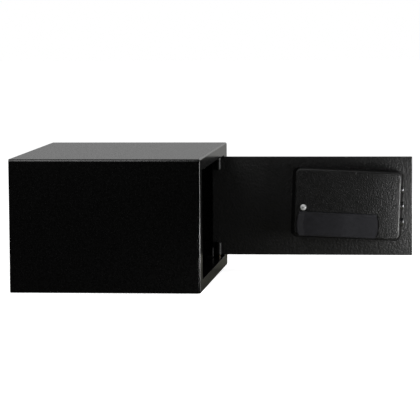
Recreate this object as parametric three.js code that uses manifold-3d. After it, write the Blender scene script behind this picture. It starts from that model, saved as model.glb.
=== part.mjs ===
// An electronic safe with its door open, in millimetres. +Z is up and the
// front faces -Y. The origin is the middle of the underside of the body.
// The door, with all that it carries, is drawn closed about its hinge axis
// and then turned open.
import * as THREE from 'three';
import { mergeVertices } from 'three/addons/utils/BufferGeometryUtils.js';
import Module from 'manifold-3d';

const wasm = await Module();
wasm.setup();

// Clearances, the overlap that joins two forms, and how far a cut runs past a face
const GAP = 0.3;
const SLIDE_GAP = 0.4;
const WELD = 0.03;
const PAST = 1;

// Body of folded sheet steel
const WIDTH = 440;
const DEPTH = 315;
const HEIGHT = 220;
const SHEET = 2.5;
const BEND_RADIUS = 4;
const BACK_SHEET = 2.5;
const ANCHOR_RADIUS = 5;
const ANCHOR_SPACING = 240;
const MAT_THICKNESS = 3;
const MAT_MARGIN = 5;
const PLUG_HEAD_RADIUS = 8;
const PLUG_HEAD = 1.6;

// Front frame
const FRAME_SHEET = 3;
const STRIP_LOCK_SIDE = 30;
const STRIP_HINGE_SIDE = 50;
const STRIP_TOP = 20;
const STRIP_BOTTOM = 20;
const FLANGE_SHEET = 2;
const FLANGE_DEPTH = 26;
const KEEPER_DEPTH = 8;

// Door plate and its hinge axis
const DOOR_SHEET = 5;
const DOOR_GAP_SIDE = 3.5;
const DOOR_GAP_TOP = 1.7;
const DOOR_GAP_BOTTOM = 4;
const DOOR_CORNER_RADIUS = 1.5;
const PIVOT_FROM_EDGE = 11;
const PIVOT_FROM_FACE = 9;
const DOOR_OPEN_ANGLE = Math.PI / 2;

// Hinges
const PIN_RADIUS = 2.5;
const PIN_HEAD_RADIUS = 4.5;
const PIN_HEAD = 2;
const KNUCKLE_RADIUS = 5;
const UPPER_KNUCKLE_HEIGHT = 16.5;
const LOWER_KNUCKLE_HEIGHT = 21.5;
const UPPER_WASHER = 2.7;
const LOWER_WASHER = 3.7;
const LUG_WIDTH = 24;
const LUG_DEPTH = 14;
const LUG_HEIGHT = 8;
const STOP_WIDTH = 10;
const STOP_HEIGHT = 18;
const STOP_SHEET = 2.5;
const STOP_FOOT = 12;
const STOP_BEHIND_PIVOT = 9;
const STOP_REACH = 1.5;

// Lock cover, which sits a little askew on the door
const COVER_WIDTH = 186;
const COVER_HEIGHT = 118;
const COVER_DEPTH = 36;
const COVER_WALL = 2.5;
const COVER_FACE = 3.2;
const COVER_CORNER_RADIUS = 6.5;
const COVER_EDGE_RADIUS = 2.5;
const COVER_FROM_FREE_EDGE = 112;
const COVER_ABOVE_MIDDLE = 6.5;
const COVER_TILT = 2.4 * Math.PI / 180;

// Battery cover and battery tray, placed from the middle of the lock cover
const BATTERY_COVER_FREE_END = -52;
const BATTERY_COVER_HINGE_END = 84;
const BATTERY_COVER_BULGE = 3.8;
const BATTERY_COVER_TOP = -16.6;
const BATTERY_COVER_THICKNESS = 1.6;
const BATTERY_COVER_RECESS = 1.9;
const HOOK_WIDTH = 10;
const HOOK_SHEET = 1.2;
const HOOK_DROP = 3.6;
const CELL_RADIUS = 7.1;
const CELL_LENGTH = 50.3;
const CELL_TIP_RADIUS = 2.6;
const CELL_TIP = 1;
const CELL_PITCH = 16.2;
const TRAY_WALL = 1.2;
const TRAY_MIDDLE_X = 15;
const TRAY_MIDDLE_Z = -37.7;
const TRAY_MARGIN = 1.6;
const CONTACT_SHEET = 0.8;
const CONTACT_SPRING = 5.2;
const CONTACT_WIDTH = 12;
const SPRING_TIP_RADIUS = 3.2;
const SPRING_BASE_RADIUS = 5;

// Cover screw, placed from the middle of the lock cover
const SCREW_X = 77;
const SCREW_Z = -9;
const SCREW_HEAD_RADIUS = 6;
const SCREW_HEAD = 3.2;
const SCREW_RADIUS = 2;
const SCREW_LENGTH = 16;
const SCREW_SLOT_WIDTH = 1.5;
const SCREW_SLOT_DEPTH = 1.3;
const SCREW_POST_RADIUS = 5;

// Bolt work
const BOLT_RADIUS = 7;
const BOLT_PITCH = 28.3;
const BOLT_ABOVE_MIDDLE = 1.9;
const BOLT_FROM_DOOR = 16;
const BOLT_PROUD = 4.6;
const BOLT_TRAVEL = 26;
const BOLT_CHAMFER = 1.2;
const BOLT_HOLE_CLEARANCE = 1.2;
const SPIGOT_RADIUS = 4;
const RIVET_RADIUS = 5.5;
const RIVET_HEAD = 1.7;
const CARRIAGE_SHEET = 2.5;
const CARRIAGE_PLATE = 2;
const CARRIAGE_FROM_MIDDLE = 50;
const CARRIAGE_WEB = 16;
const CARRIAGE_END_MARGIN = 10.5;
const CARRIAGE_UPRIGHT = 21.5;
const TONGUE_BELOW_MIDDLE = 9;
const TONGUE_HEIGHT = 23.5;
const TONGUE_LENGTH = 70;
const SLOT_ABOVE_TONGUE = 6;
const PEG_RADIUS = 3;
const PEG_FROM_UPRIGHT = 26;
const PEG_HEIGHT = 5;
const TAB_SHEET = 2;
const TAB_HEIGHT = 21;
const TAB_RISE = 7.5;
const TAB_OVERLAP = 7.5;

// Rack and pinion, of one module
const MODULE = 1;
const PINION_TEETH = 12;
const PINION_FACE = 9;
const PINION_FROM_UPRIGHT = 25.5;
const PINION_ABOVE_TONGUE = 12.5;
const MESH_EASE = 0.25;
const PRESSURE_ANGLE = 20 * Math.PI / 180;
const ADDENDUM = MODULE;
const DEDENDUM = 1.25 * MODULE;
const TOOTH_ROOT_SHARE = 0.29;
const TOOTH_PITCH_SHARE = 0.2;
const TOOTH_TIP_SHARE = 0.09;
const SHAFT_RADIUS = 1.5;
const RACK_SPARE = 4;
const RACK_BASE = 0.75;

// Gear motor on its shelf
const MOTOR_WIDTH = 12;
const MOTOR_DEPTH = 10;
const GEARBOX_LENGTH = 9;
const MOTOR_CAN_LENGTH = 15;
const MOTOR_CAN_RADIUS = 6;
const SHELF_MARGIN = 1.5;
const SHELF_ABOVE_TONGUE = 0.7;
const SHELF_DEPTH = 20;

// Lock chassis on the inner face of the door
const CHASSIS_SHEET = 1.6;
const CHASSIS_MARGIN_X = 9;
const CHASSIS_MARGIN_Z = 11;
const GUIDE_SHEET = 2;
const GUIDE_HEIGHT = 29;
const POST_RADIUS = 3.2;

// Main circuit board on its posts
const BOARD_THICKNESS = 1.6;
const BOARD_FROM_DOOR = 24.3;
const BOARD_FREE_END = -38;
const BOARD_HINGE_END = 32;
const BOARD_BOTTOM = -15;
const BOARD_TOP = 48;
const BOARD_POST_INSET = 5.5;
const BUZZER_RADIUS = 6;
const BUZZER_HEIGHT = 5;
const CHIP_WIDTH = 18;
const CHIP_HEIGHT = 8;
const CHIP_THICKNESS = 2;

// Override lock: cylinder, plug, cam and nut
const LOCK_X = 0.5;
const LOCK_Z = 32.4;
const CYLINDER_RADIUS = 9;
const CYLINDER_INSIDE = 8.5;
const CYLINDER_FLANGE_RADIUS = 11.5;
const CYLINDER_FLANGE = 2.2;
const CYLINDER_RECESS = 0.8;
const PLUG_RADIUS = 6;
const KEYWAY_WIDTH = 2;
const KEYWAY_HEIGHT = 8;
const KEYWAY_DEPTH = 16;
const TAIL_SIZE = 5;
const TAIL_LENGTH = 4.5;
const CAM_REACH = 19;
const CAM_HUB_RADIUS = 6.5;
const CAM_WIDTH = 8;
const CAM_SHEET = 2.5;
const CAM_REST_ANGLE = 205 * Math.PI / 180;
const NUT_RADIUS = 12.5;
const NUT_HEIGHT = 3;

// Keypad on the outer face of the door
const BEZEL_WIDTH = 168;
const BEZEL_HEIGHT = 92;
const BEZEL_DEPTH = 10;
const BEZEL_WALL = 2;
const BEZEL_CORNER_RADIUS = 9;
const BEZEL_ABOVE_COVER = 2.4;
const KEY_COLUMNS = 6;
const KEY_NAMES = ['1', '2', '3', '4', '5', 'clear', '6', '7', '8', '9', '0', 'lock'];
const KEY_WIDTH = 20;
const KEY_HEIGHT = 12;
const KEY_RADIUS = 2;
const KEY_PITCH_X = 25;
const KEY_PITCH_Z = 18;
const KEY_ROW_Z = -17;
const KEY_PROUD = 1.6;
const KEY_LIP = 1;
const KEY_LIP_SHEET = 1;
const KEY_STEM = 1;
const KEY_TRAVEL = 1;
const KEY_MAT_THICKNESS = 1.2;
const KEY_BOARD_MARGIN = 8;
const WINDOW_WIDTH = 52;
const WINDOW_HEIGHT = 20;
const WINDOW_THICKNESS = 1.6;
const WINDOW_CORNER_RADIUS = 1.2;
const WINDOW_X = -42;
const WINDOW_Z = 28;
const DISPLAY_MARGIN = 3;
const DISPLAY_DEPTH = 3.6;
const KEYHOLE_CAP_RADIUS = 11;
const KEYHOLE_CAP_SHEET = 2;
const KEYHOLE_CAP_PIVOT = 12;
const KEYHOLE_CAP_EAR = 4;
const RIVET_PIN_RADIUS = 1.5;
const RIVET_PIN_HEAD_RADIUS = 3;

// Ribbon cable from the keypad to the main board
const CABLE_X = 40;
const CABLE_Z = -6.5;
const CABLE_WIDTH = 14;
const CABLE_THICKNESS = 1;
const CABLE_SLOT_EASE = 2.5;
const CABLE_OVER_BOARD = 1.4;

// Places that follow from the sizes above
const FRONT = -DEPTH / 2;
const BACK = DEPTH / 2;
const OPENING_LEFT = -WIDTH / 2 + STRIP_LOCK_SIDE;
const OPENING_RIGHT = WIDTH / 2 - STRIP_HINGE_SIDE;
const OPENING_BOTTOM = STRIP_BOTTOM;
const OPENING_TOP = HEIGHT - STRIP_TOP;
const DOOR_BOTTOM = OPENING_BOTTOM + DOOR_GAP_BOTTOM;
const DOOR_TOP = OPENING_TOP - DOOR_GAP_TOP;
const DOOR_WIDTH = OPENING_RIGHT - OPENING_LEFT - 2 * DOOR_GAP_SIDE;
const DOOR_MIDDLE_Z = (DOOR_BOTTOM + DOOR_TOP) / 2;
const PIVOT_X = OPENING_RIGHT - DOOR_GAP_SIDE - PIVOT_FROM_EDGE;
const PIVOT_Y = FRONT + PIVOT_FROM_FACE;
const PIN_HOLE_RADIUS = PIN_RADIUS + GAP;
const FREE_EDGE = PIVOT_FROM_EDGE - DOOR_WIDTH;
const OUTER_FACE = -PIVOT_FROM_FACE;
const INNER_FACE = OUTER_FACE + DOOR_SHEET;
const WASHER_RADIUS = -INNER_FACE - GAP;
const COVER_X = FREE_EDGE + COVER_FROM_FREE_EDGE;
const COVER_Z = DOOR_MIDDLE_Z + COVER_ABOVE_MIDDLE;
const COVER_INNER = COVER_DEPTH - COVER_FACE;
const BOLT_Y = INNER_FACE + BOLT_FROM_DOOR;
const BOLT_TIP = COVER_X - COVER_WIDTH / 2 - BOLT_PROUD;
const BOLT_MIDDLE_Z = DOOR_MIDDLE_Z + BOLT_ABOVE_MIDDLE;
const BOLT_PLACES = [['upper', 1], ['middle', 0], ['lower', -1]];
const UPRIGHT_X = COVER_X - CARRIAGE_FROM_MIDDLE;
const CHASSIS_LEFT = COVER_X - COVER_WIDTH / 2 + CHASSIS_MARGIN_X;
const CHASSIS_RIGHT = COVER_X + COVER_WIDTH / 2 - CHASSIS_MARGIN_X;
const CHASSIS_BOTTOM = COVER_Z - COVER_HEIGHT / 2 + CHASSIS_MARGIN_Z;
const CHASSIS_TOP = COVER_Z + COVER_HEIGHT / 2 - CHASSIS_MARGIN_Z;
const CHASSIS_Y = INNER_FACE + GAP;
const CHASSIS_FACE = CHASSIS_Y + CHASSIS_SHEET;
const NUT_Y = CHASSIS_FACE + GAP;
const CARRIAGE_Y = CHASSIS_FACE + 2 * GAP;
const CARRIAGE_FACE = CARRIAGE_Y + CARRIAGE_PLATE;
const CARRIAGE_BOTTOM = BOLT_MIDDLE_Z - BOLT_PITCH - CARRIAGE_END_MARGIN;
const CARRIAGE_TOP = BOLT_MIDDLE_Z + BOLT_PITCH + CARRIAGE_END_MARGIN;
const TONGUE_BOTTOM = DOOR_MIDDLE_Z - TONGUE_BELOW_MIDDLE;
const TONGUE_TOP = TONGUE_BOTTOM + TONGUE_HEIGHT;
const TONGUE_END = UPRIGHT_X + TONGUE_LENGTH;
const PINION_X = UPRIGHT_X + PINION_FROM_UPRIGHT;
const PITCH_RADIUS = MODULE * PINION_TEETH / 2;
const PITCH_LINE = CARRIAGE_FACE + RACK_BASE + DEDENDUM;
const PINION_Y = PITCH_LINE + PITCH_RADIUS + MESH_EASE;
const PINION_BOTTOM = TONGUE_BOTTOM + PINION_ABOVE_TONGUE;
const SHELF_BOTTOM = TONGUE_TOP + SHELF_ABOVE_TONGUE;
const SHELF_TOP = SHELF_BOTTOM + CHASSIS_SHEET;
const LOCK_AXIS_X = COVER_X + LOCK_X;
const LOCK_AXIS_Z = COVER_Z + LOCK_Z;
const BOARD_Y = INNER_FACE + BOARD_FROM_DOOR;
const BEZEL_BACK = OUTER_FACE - GAP;
const BEZEL_FACE = BEZEL_BACK - BEZEL_DEPTH;
const BEZEL_INNER = BEZEL_FACE + BEZEL_WALL;
const BEZEL_Z = COVER_Z + BEZEL_ABOVE_COVER;
const KEY_BACK = BEZEL_INNER + GAP + KEY_LIP_SHEET + KEY_STEM;
const KEY_MAT_FRONT = KEY_BACK + KEY_TRAVEL + GAP;
const KEY_BOARD_FRONT = KEY_MAT_FRONT + KEY_MAT_THICKNESS + GAP;
const KEY_BOARD_BACK = KEY_BOARD_FRONT + BOARD_THICKNESS;
const CYLINDER_FRONT = BEZEL_FACE + CYLINDER_RECESS;
const CYLINDER_BACK = INNER_FACE + CYLINDER_INSIDE;
const CAP_PIVOT_Z = LOCK_AXIS_Z + KEYHOLE_CAP_PIVOT;

// Colour, roughness and metalness of each material
const FINISH = {
  coat: [0x1c1c1b, 0.5, 0.3],
  coatInner: [0x181818, 0.55, 0.3],
  felt: [0x222224, 0.95, 0],
  zinc: [0x9a9c9e, 0.35, 0.9],
  chrome: [0xd8dadc, 0.12, 1],
  brass: [0xb08d4a, 0.3, 1],
  blackPlastic: [0x232324, 0.6, 0],
  smoothPlastic: [0x27272a, 0.35, 0],
  rubber: [0x1a1a1a, 0.85, 0],
  keyGrey: [0x8d9094, 0.5, 0],
  window: [0x1a0d0d, 0.1, 0],
  boardGreen: [0x1f5a38, 0.5, 0],
  cell: [0x3f4348, 0.35, 0.4],
  nylon: [0xd8d6cc, 0.5, 0],
  cable: [0x9fa3a6, 0.6, 0],
};

function toSolid(geometry) {
  const bare = geometry.clone();
  bare.deleteAttribute('normal');
  bare.deleteAttribute('uv');
  const merged = mergeVertices(bare, 1e-4);
  return new wasm.Manifold(new wasm.Mesh({
    numProp: 3,
    vertProperties: merged.attributes.position.array,
    triVerts: new Uint32Array(merged.index.array),
  }));
}

function toGeometry(body) {
  const mesh = body.getMesh();
  const geometry = new THREE.BufferGeometry();
  geometry.setAttribute('position', new THREE.BufferAttribute(mesh.vertProperties, 3));
  geometry.setIndex(new THREE.BufferAttribute(mesh.triVerts, 1));
  geometry.computeVertexNormals();
  return geometry;
}

// A body made by joining the first list of geometries and cutting the second
function shaped(joined, cuts = []) {
  let body = toSolid(joined[0]);
  for (const geometry of joined.slice(1)) {
    body = body.add(toSolid(geometry));
  }
  for (const geometry of cuts) {
    body = body.subtract(toSolid(geometry));
  }
  return toGeometry(body);
}

function common(first, second) {
  return toGeometry(toSolid(first).intersect(toSolid(second)));
}

function box(x0, x1, y0, y1, z0, z1) {
  const geometry = new THREE.BoxGeometry(x1 - x0, y1 - y0, z1 - z0);
  return geometry.translate((x0 + x1) / 2, (y0 + y1) / 2, (z0 + z1) / 2);
}

function rodX(radius, x0, x1, y, z, sides = 20) {
  const geometry = new THREE.CylinderGeometry(radius, radius, x1 - x0, sides);
  return geometry.rotateZ(Math.PI / 2).translate((x0 + x1) / 2, y, z);
}

function rodY(radius, y0, y1, x, z, sides = 20) {
  const geometry = new THREE.CylinderGeometry(radius, radius, y1 - y0, sides);
  return geometry.translate(x, (y0 + y1) / 2, z);
}

function rodZ(radius, z0, z1, x, y, sides = 20) {
  const geometry = new THREE.CylinderGeometry(radius, radius, z1 - z0, sides);
  return geometry.rotateX(Math.PI / 2).translate(x, y, (z0 + z1) / 2);
}

// A round rectangle in the plane of the front, across x and up z
function roundRect(x0, x1, z0, z1, radius) {
  const shape = new THREE.Shape();
  shape.moveTo(x0 + radius, z0);
  shape.lineTo(x1 - radius, z0);
  shape.absarc(x1 - radius, z0 + radius, radius, -Math.PI / 2, 0);
  shape.lineTo(x1, z1 - radius);
  shape.absarc(x1 - radius, z1 - radius, radius, 0, Math.PI / 2);
  shape.lineTo(x0 + radius, z1);
  shape.absarc(x0 + radius, z1 - radius, radius, Math.PI / 2, Math.PI);
  shape.lineTo(x0, z0 + radius);
  shape.absarc(x0 + radius, z0 + radius, radius, Math.PI, 1.5 * Math.PI);
  return shape;
}

// A shape drawn across x and up z, made thick from y0 to y1
function slab(shape, y0, y1, curveSegments = 5) {
  const geometry = new THREE.ExtrudeGeometry(shape, {
    depth: y1 - y0,
    bevelEnabled: false,
    curveSegments,
  });
  return geometry.rotateX(Math.PI / 2).translate(0, y1, 0);
}

// A shape drawn in plan, made tall from z0 to z1
function prism(shape, z0, z1, curveSegments = 8) {
  const geometry = new THREE.ExtrudeGeometry(shape, {
    depth: z1 - z0,
    bevelEnabled: false,
    curveSegments,
  });
  return geometry.translate(0, 0, z0);
}

// A profile of [radius, height] pairs turned about the y axis
function turned(profile, sides = 20) {
  const points = profile.map(([radius, height]) => new THREE.Vector2(radius, height));
  return new THREE.LatheGeometry(points, sides);
}

function piece(name, geometry, finish, parent) {
  const [color, roughness, metalness] = FINISH[finish];
  const material = new THREE.MeshStandardMaterial({ color, roughness, metalness });
  const mesh = new THREE.Mesh(geometry, material);
  mesh.name = name;
  parent.add(mesh);
  return mesh;
}

// Shell, back, mat and plugs

function anchorPlaces() {
  return [-ANCHOR_SPACING / 2, ANCHOR_SPACING / 2];
}

function addBody(safe) {
  const left = -WIDTH / 2;
  const right = WIDTH / 2;
  const outer = roundRect(left, right, 0, HEIGHT, BEND_RADIUS);
  const inner = roundRect(left + SHEET, right - SHEET, SHEET, HEIGHT - SHEET, BEND_RADIUS - SHEET);
  const shellFront = FRONT + FRAME_SHEET + GAP;
  const floorHoles = anchorPlaces().map((x) => rodZ(ANCHOR_RADIUS, -PAST, SHEET + PAST, x, 0));
  const hollow = slab(inner, shellFront - PAST, BACK + PAST);
  piece('body_shell', shaped([slab(outer, shellFront, BACK)], [hollow, ...floorHoles]), 'coat', safe);

  const inset = SHEET + GAP;
  const backShape = roundRect(left + inset, right - inset, inset, HEIGHT - inset, BEND_RADIUS - SHEET);
  const backFront = BACK - BACK_SHEET;
  const backHoles = anchorPlaces().map((x) => rodY(ANCHOR_RADIUS, backFront - PAST, BACK + PAST,
    x, HEIGHT / 2));
  piece('back_panel', shaped([slab(backShape, backFront, BACK)], backHoles), 'coat', safe);

  const matEdge = SHEET + MAT_MARGIN;
  const matBottom = SHEET + GAP;
  const matFront = FRONT + FRAME_SHEET + MAT_MARGIN;
  piece('floor_mat', box(left + matEdge, right - matEdge, matFront, backFront - MAT_MARGIN,
    matBottom, matBottom + MAT_THICKNESS), 'felt', safe);

  const plugProfile = [
    [0, 0],
    [ANCHOR_RADIUS - 2 * GAP, 0],
    [ANCHOR_RADIUS - GAP, GAP],
    [ANCHOR_RADIUS - GAP, BACK_SHEET + GAP],
    [PLUG_HEAD_RADIUS, BACK_SHEET + GAP],
    [PLUG_HEAD_RADIUS - PLUG_HEAD / 2, BACK_SHEET + GAP + PLUG_HEAD],
    [0, BACK_SHEET + GAP + PLUG_HEAD],
  ];
  anchorPlaces().forEach((x, index) => {
    const plug = piece(`anchor_plug_${index + 1}`, turned(plugProfile, 16), 'rubber', safe);
    plug.rotation.z = Math.PI;
    plug.position.set(x, BACK, HEIGHT / 2);
  });
}

// Front frame with its inward flanges. The bolts lie behind the lock side's lip.

function addFrame(safe) {
  const plateBack = FRONT + FRAME_SHEET;
  const outer = roundRect(-WIDTH / 2, WIDTH / 2, 0, HEIGHT, BEND_RADIUS);
  const opening = roundRect(OPENING_LEFT, OPENING_RIGHT, OPENING_BOTTOM, OPENING_TOP, 1);
  const plate = shaped([slab(outer, FRONT, plateBack)], [slab(opening, FRONT - PAST, plateBack + PAST)]);
  const flangeBack = plateBack + FLANGE_DEPTH;
  const keeperBack = plateBack + KEEPER_DEPTH;
  const top = box(OPENING_LEFT - FLANGE_SHEET, OPENING_RIGHT, plateBack - PAST, flangeBack,
    OPENING_TOP, OPENING_TOP + FLANGE_SHEET);
  const bottom = box(OPENING_LEFT - FLANGE_SHEET, OPENING_RIGHT, plateBack - PAST, flangeBack,
    OPENING_BOTTOM - FLANGE_SHEET, OPENING_BOTTOM);
  const keeper = box(OPENING_LEFT - FLANGE_SHEET, OPENING_LEFT, plateBack - PAST, keeperBack,
    OPENING_BOTTOM - FLANGE_SHEET, OPENING_TOP + FLANGE_SHEET);
  const pinHole = rodZ(PIN_HOLE_RADIUS, 0, HEIGHT, PIVOT_X, PIVOT_Y);
  piece('front_frame', shaped([plate, top, bottom, keeper], [pinHole]), 'coat', safe);
}

// Fixed half of the hinges, and the stop that ends the door's swing

function pinGeometry(headEnd, tip) {
  const away = Math.sign(headEnd - tip);
  const headTop = headEnd + away * PIN_HEAD;
  const shank = rodZ(PIN_RADIUS, Math.min(tip, headEnd), Math.max(tip, headEnd), PIVOT_X, PIVOT_Y, 24);
  const overlap = headEnd - away * WELD;
  const low = Math.min(overlap, headTop);
  const high = Math.max(overlap, headTop);
  const head = rodZ(PIN_HEAD_RADIUS, low, high, PIVOT_X, PIVOT_Y, 24);
  return shaped([shank, head]);
}

function addFixedHinges(safe) {
  const lugFront = FRONT + FRAME_SHEET + GAP;
  const lugLeft = PIVOT_X - LUG_WIDTH / 2;
  const lugs = [
    ['upper', OPENING_TOP + FLANGE_SHEET + GAP],
    ['lower', OPENING_BOTTOM - FLANGE_SHEET - GAP - LUG_HEIGHT],
  ];
  const hole = rodZ(PIN_HOLE_RADIUS, 0, HEIGHT, PIVOT_X, PIVOT_Y, 24);
  for (const [place, bottom] of lugs) {
    const lug = box(lugLeft, lugLeft + LUG_WIDTH, lugFront, lugFront + LUG_DEPTH,
      bottom, bottom + LUG_HEIGHT);
    piece(`hinge_lug_${place}`, shaped([lug], [hole]), 'coatInner', safe);
  }
  const upperHead = lugs[0][1] + LUG_HEIGHT + GAP;
  const lowerHead = lugs[1][1] - GAP;
  const upperTip = OPENING_TOP - GAP - UPPER_WASHER - GAP - UPPER_KNUCKLE_HEIGHT;
  const lowerTip = OPENING_BOTTOM + GAP + LOWER_WASHER + GAP + LOWER_KNUCKLE_HEIGHT;
  piece('hinge_pin_upper', pinGeometry(upperHead, upperTip), 'zinc', safe);
  piece('hinge_pin_lower', pinGeometry(lowerHead, lowerTip), 'zinc', safe);

  const washers = [
    ['upper', OPENING_TOP - GAP - UPPER_WASHER, UPPER_WASHER],
    ['lower', OPENING_BOTTOM + GAP, LOWER_WASHER],
  ];
  for (const [place, bottom, height] of washers) {
    const ring = rodZ(WASHER_RADIUS, bottom, bottom + height, PIVOT_X, PIVOT_Y, 24);
    piece(`thrust_washer_${place}`, shaped([ring], [hole]), 'brass', safe);
  }

  const stopRight = PIVOT_X + STOP_REACH;
  const stopFront = PIVOT_Y + STOP_BEHIND_PIVOT;
  const stopBottom = OPENING_BOTTOM + GAP;
  const upright = box(stopRight - STOP_WIDTH, stopRight, stopFront, stopFront + STOP_SHEET,
    stopBottom, stopBottom + STOP_HEIGHT);
  const foot = box(stopRight - STOP_WIDTH, stopRight, stopFront, stopFront + STOP_FOOT,
    stopBottom, stopBottom + STOP_SHEET);
  piece('door_stop', shaped([upright, foot]), 'coatInner', safe);
}

// Door plate and the knuckles on its inner face

function addDoorPlate(door) {
  const outline = roundRect(FREE_EDGE, PIVOT_FROM_EDGE, DOOR_BOTTOM, DOOR_TOP, DOOR_CORNER_RADIUS);
  const cylinderHole = rodY(CYLINDER_RADIUS + GAP, OUTER_FACE - PAST, INNER_FACE + PAST,
    LOCK_AXIS_X, LOCK_AXIS_Z);
  const plate = slab(outline, OUTER_FACE, INNER_FACE);
  const slot = cableSlot(OUTER_FACE - PAST, INNER_FACE + PAST);
  piece('door_panel', shaped([plate], [cylinderHole, slot]), 'coat', door);

  const profile = new THREE.Shape();
  profile.moveTo(-KNUCKLE_RADIUS, INNER_FACE + GAP);
  profile.lineTo(KNUCKLE_RADIUS, INNER_FACE + GAP);
  profile.lineTo(KNUCKLE_RADIUS, 0);
  profile.absarc(0, 0, KNUCKLE_RADIUS, 0, Math.PI);
  const knuckles = [
    ['upper', OPENING_TOP - GAP - UPPER_WASHER - GAP - UPPER_KNUCKLE_HEIGHT, UPPER_KNUCKLE_HEIGHT],
    ['lower', OPENING_BOTTOM + GAP + LOWER_WASHER + GAP, LOWER_KNUCKLE_HEIGHT],
  ];
  for (const [place, bottom, height] of knuckles) {
    const bore = rodZ(PIN_HOLE_RADIUS, bottom - PAST, bottom + height + PAST, 0, 0, 24);
    const knuckle = shaped([prism(profile, bottom, bottom + height)], [bore]);
    piece(`hinge_knuckle_${place}`, knuckle, 'coatInner', door);
  }
}

// Override lock

function addOverrideLock(door) {
  const x = LOCK_AXIS_X;
  const z = LOCK_AXIS_Z;
  const barrel = rodY(CYLINDER_RADIUS, CYLINDER_FRONT, CYLINDER_BACK, x, z, 24);
  const flange = rodY(CYLINDER_FLANGE_RADIUS, BEZEL_BACK - CYLINDER_FLANGE, BEZEL_BACK, x, z, 24);
  const bore = rodY(PLUG_RADIUS + GAP, CYLINDER_FRONT - PAST, CYLINDER_BACK + PAST, x, z, 24);
  piece('override_cylinder', shaped([barrel, flange], [bore]), 'zinc', door);

  const plugBack = CYLINDER_BACK - GAP;
  const body = rodY(PLUG_RADIUS, CYLINDER_FRONT + GAP, plugBack, x, z, 24);
  const half = TAIL_SIZE / 2;
  const tail = box(x - half, x + half, plugBack - PAST, plugBack + TAIL_LENGTH, z - half, z + half);
  const keyway = box(x - KEYWAY_WIDTH / 2, x + KEYWAY_WIDTH / 2,
    CYLINDER_FRONT - PAST, CYLINDER_FRONT + KEYWAY_DEPTH, z - KEYWAY_HEIGHT / 2, z + KEYWAY_HEIGHT / 2);
  piece('override_plug', shaped([body, tail], [keyway]), 'brass', door);

  const camFront = CYLINDER_BACK + GAP;
  const tipRadius = CAM_WIDTH / 2;
  const arm = box(0, CAM_REACH - tipRadius, camFront, camFront + CAM_SHEET, -tipRadius, tipRadius);
  const tip = rodY(tipRadius, camFront, camFront + CAM_SHEET, CAM_REACH - tipRadius, 0, 24);
  const hub = rodY(CAM_HUB_RADIUS, camFront, camFront + CAM_SHEET, 0, 0);
  const hole = box(-half - GAP, half + GAP, camFront - PAST, camFront + CAM_SHEET + PAST,
    -half - GAP, half + GAP);
  hole.rotateY(CAM_REST_ANGLE);
  const camShape = shaped([hub, arm, tip], [hole]);
  camShape.rotateY(-CAM_REST_ANGLE);
  const cam = piece('override_cam', camShape, 'zinc', door);
  cam.position.set(x, 0, z);

  const nut = rodY(NUT_RADIUS, NUT_Y, NUT_Y + NUT_HEIGHT, x, z, 6);
  const nutBore = rodY(CYLINDER_RADIUS + GAP, NUT_Y - PAST, NUT_Y + NUT_HEIGHT + PAST, x, z, 24);
  piece('cylinder_nut', shaped([nut], [nutBore]), 'zinc', door);
}

// Chassis, carriage, bolts, pinion and motor

function cableSlot(y0, y1) {
  const x = COVER_X + CABLE_X;
  const z = COVER_Z + CABLE_Z;
  const halfWide = CABLE_THICKNESS / 2 + CABLE_SLOT_EASE;
  const halfTall = CABLE_WIDTH / 2 + CABLE_SLOT_EASE / 2;
  return box(x - halfWide, x + halfWide, y0, y1, z - halfTall, z + halfTall);
}

// Turn a place on the askew cover into a place on the door
function onDoor(x, z) {
  const place = new THREE.Vector3(x, 0, z).applyAxisAngle(new THREE.Vector3(0, 1, 0), -COVER_TILT);
  return [COVER_X + place.x, COVER_Z + place.z];
}

function boardPosts() {
  const left = COVER_X + BOARD_FREE_END + BOARD_POST_INSET;
  const right = COVER_X + BOARD_HINGE_END - BOARD_POST_INSET;
  const bottom = COVER_Z + BOARD_BOTTOM + BOARD_POST_INSET;
  const top = COVER_Z + BOARD_TOP - BOARD_POST_INSET;
  return [[left, top], [right, top], [right, bottom]];
}

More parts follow.
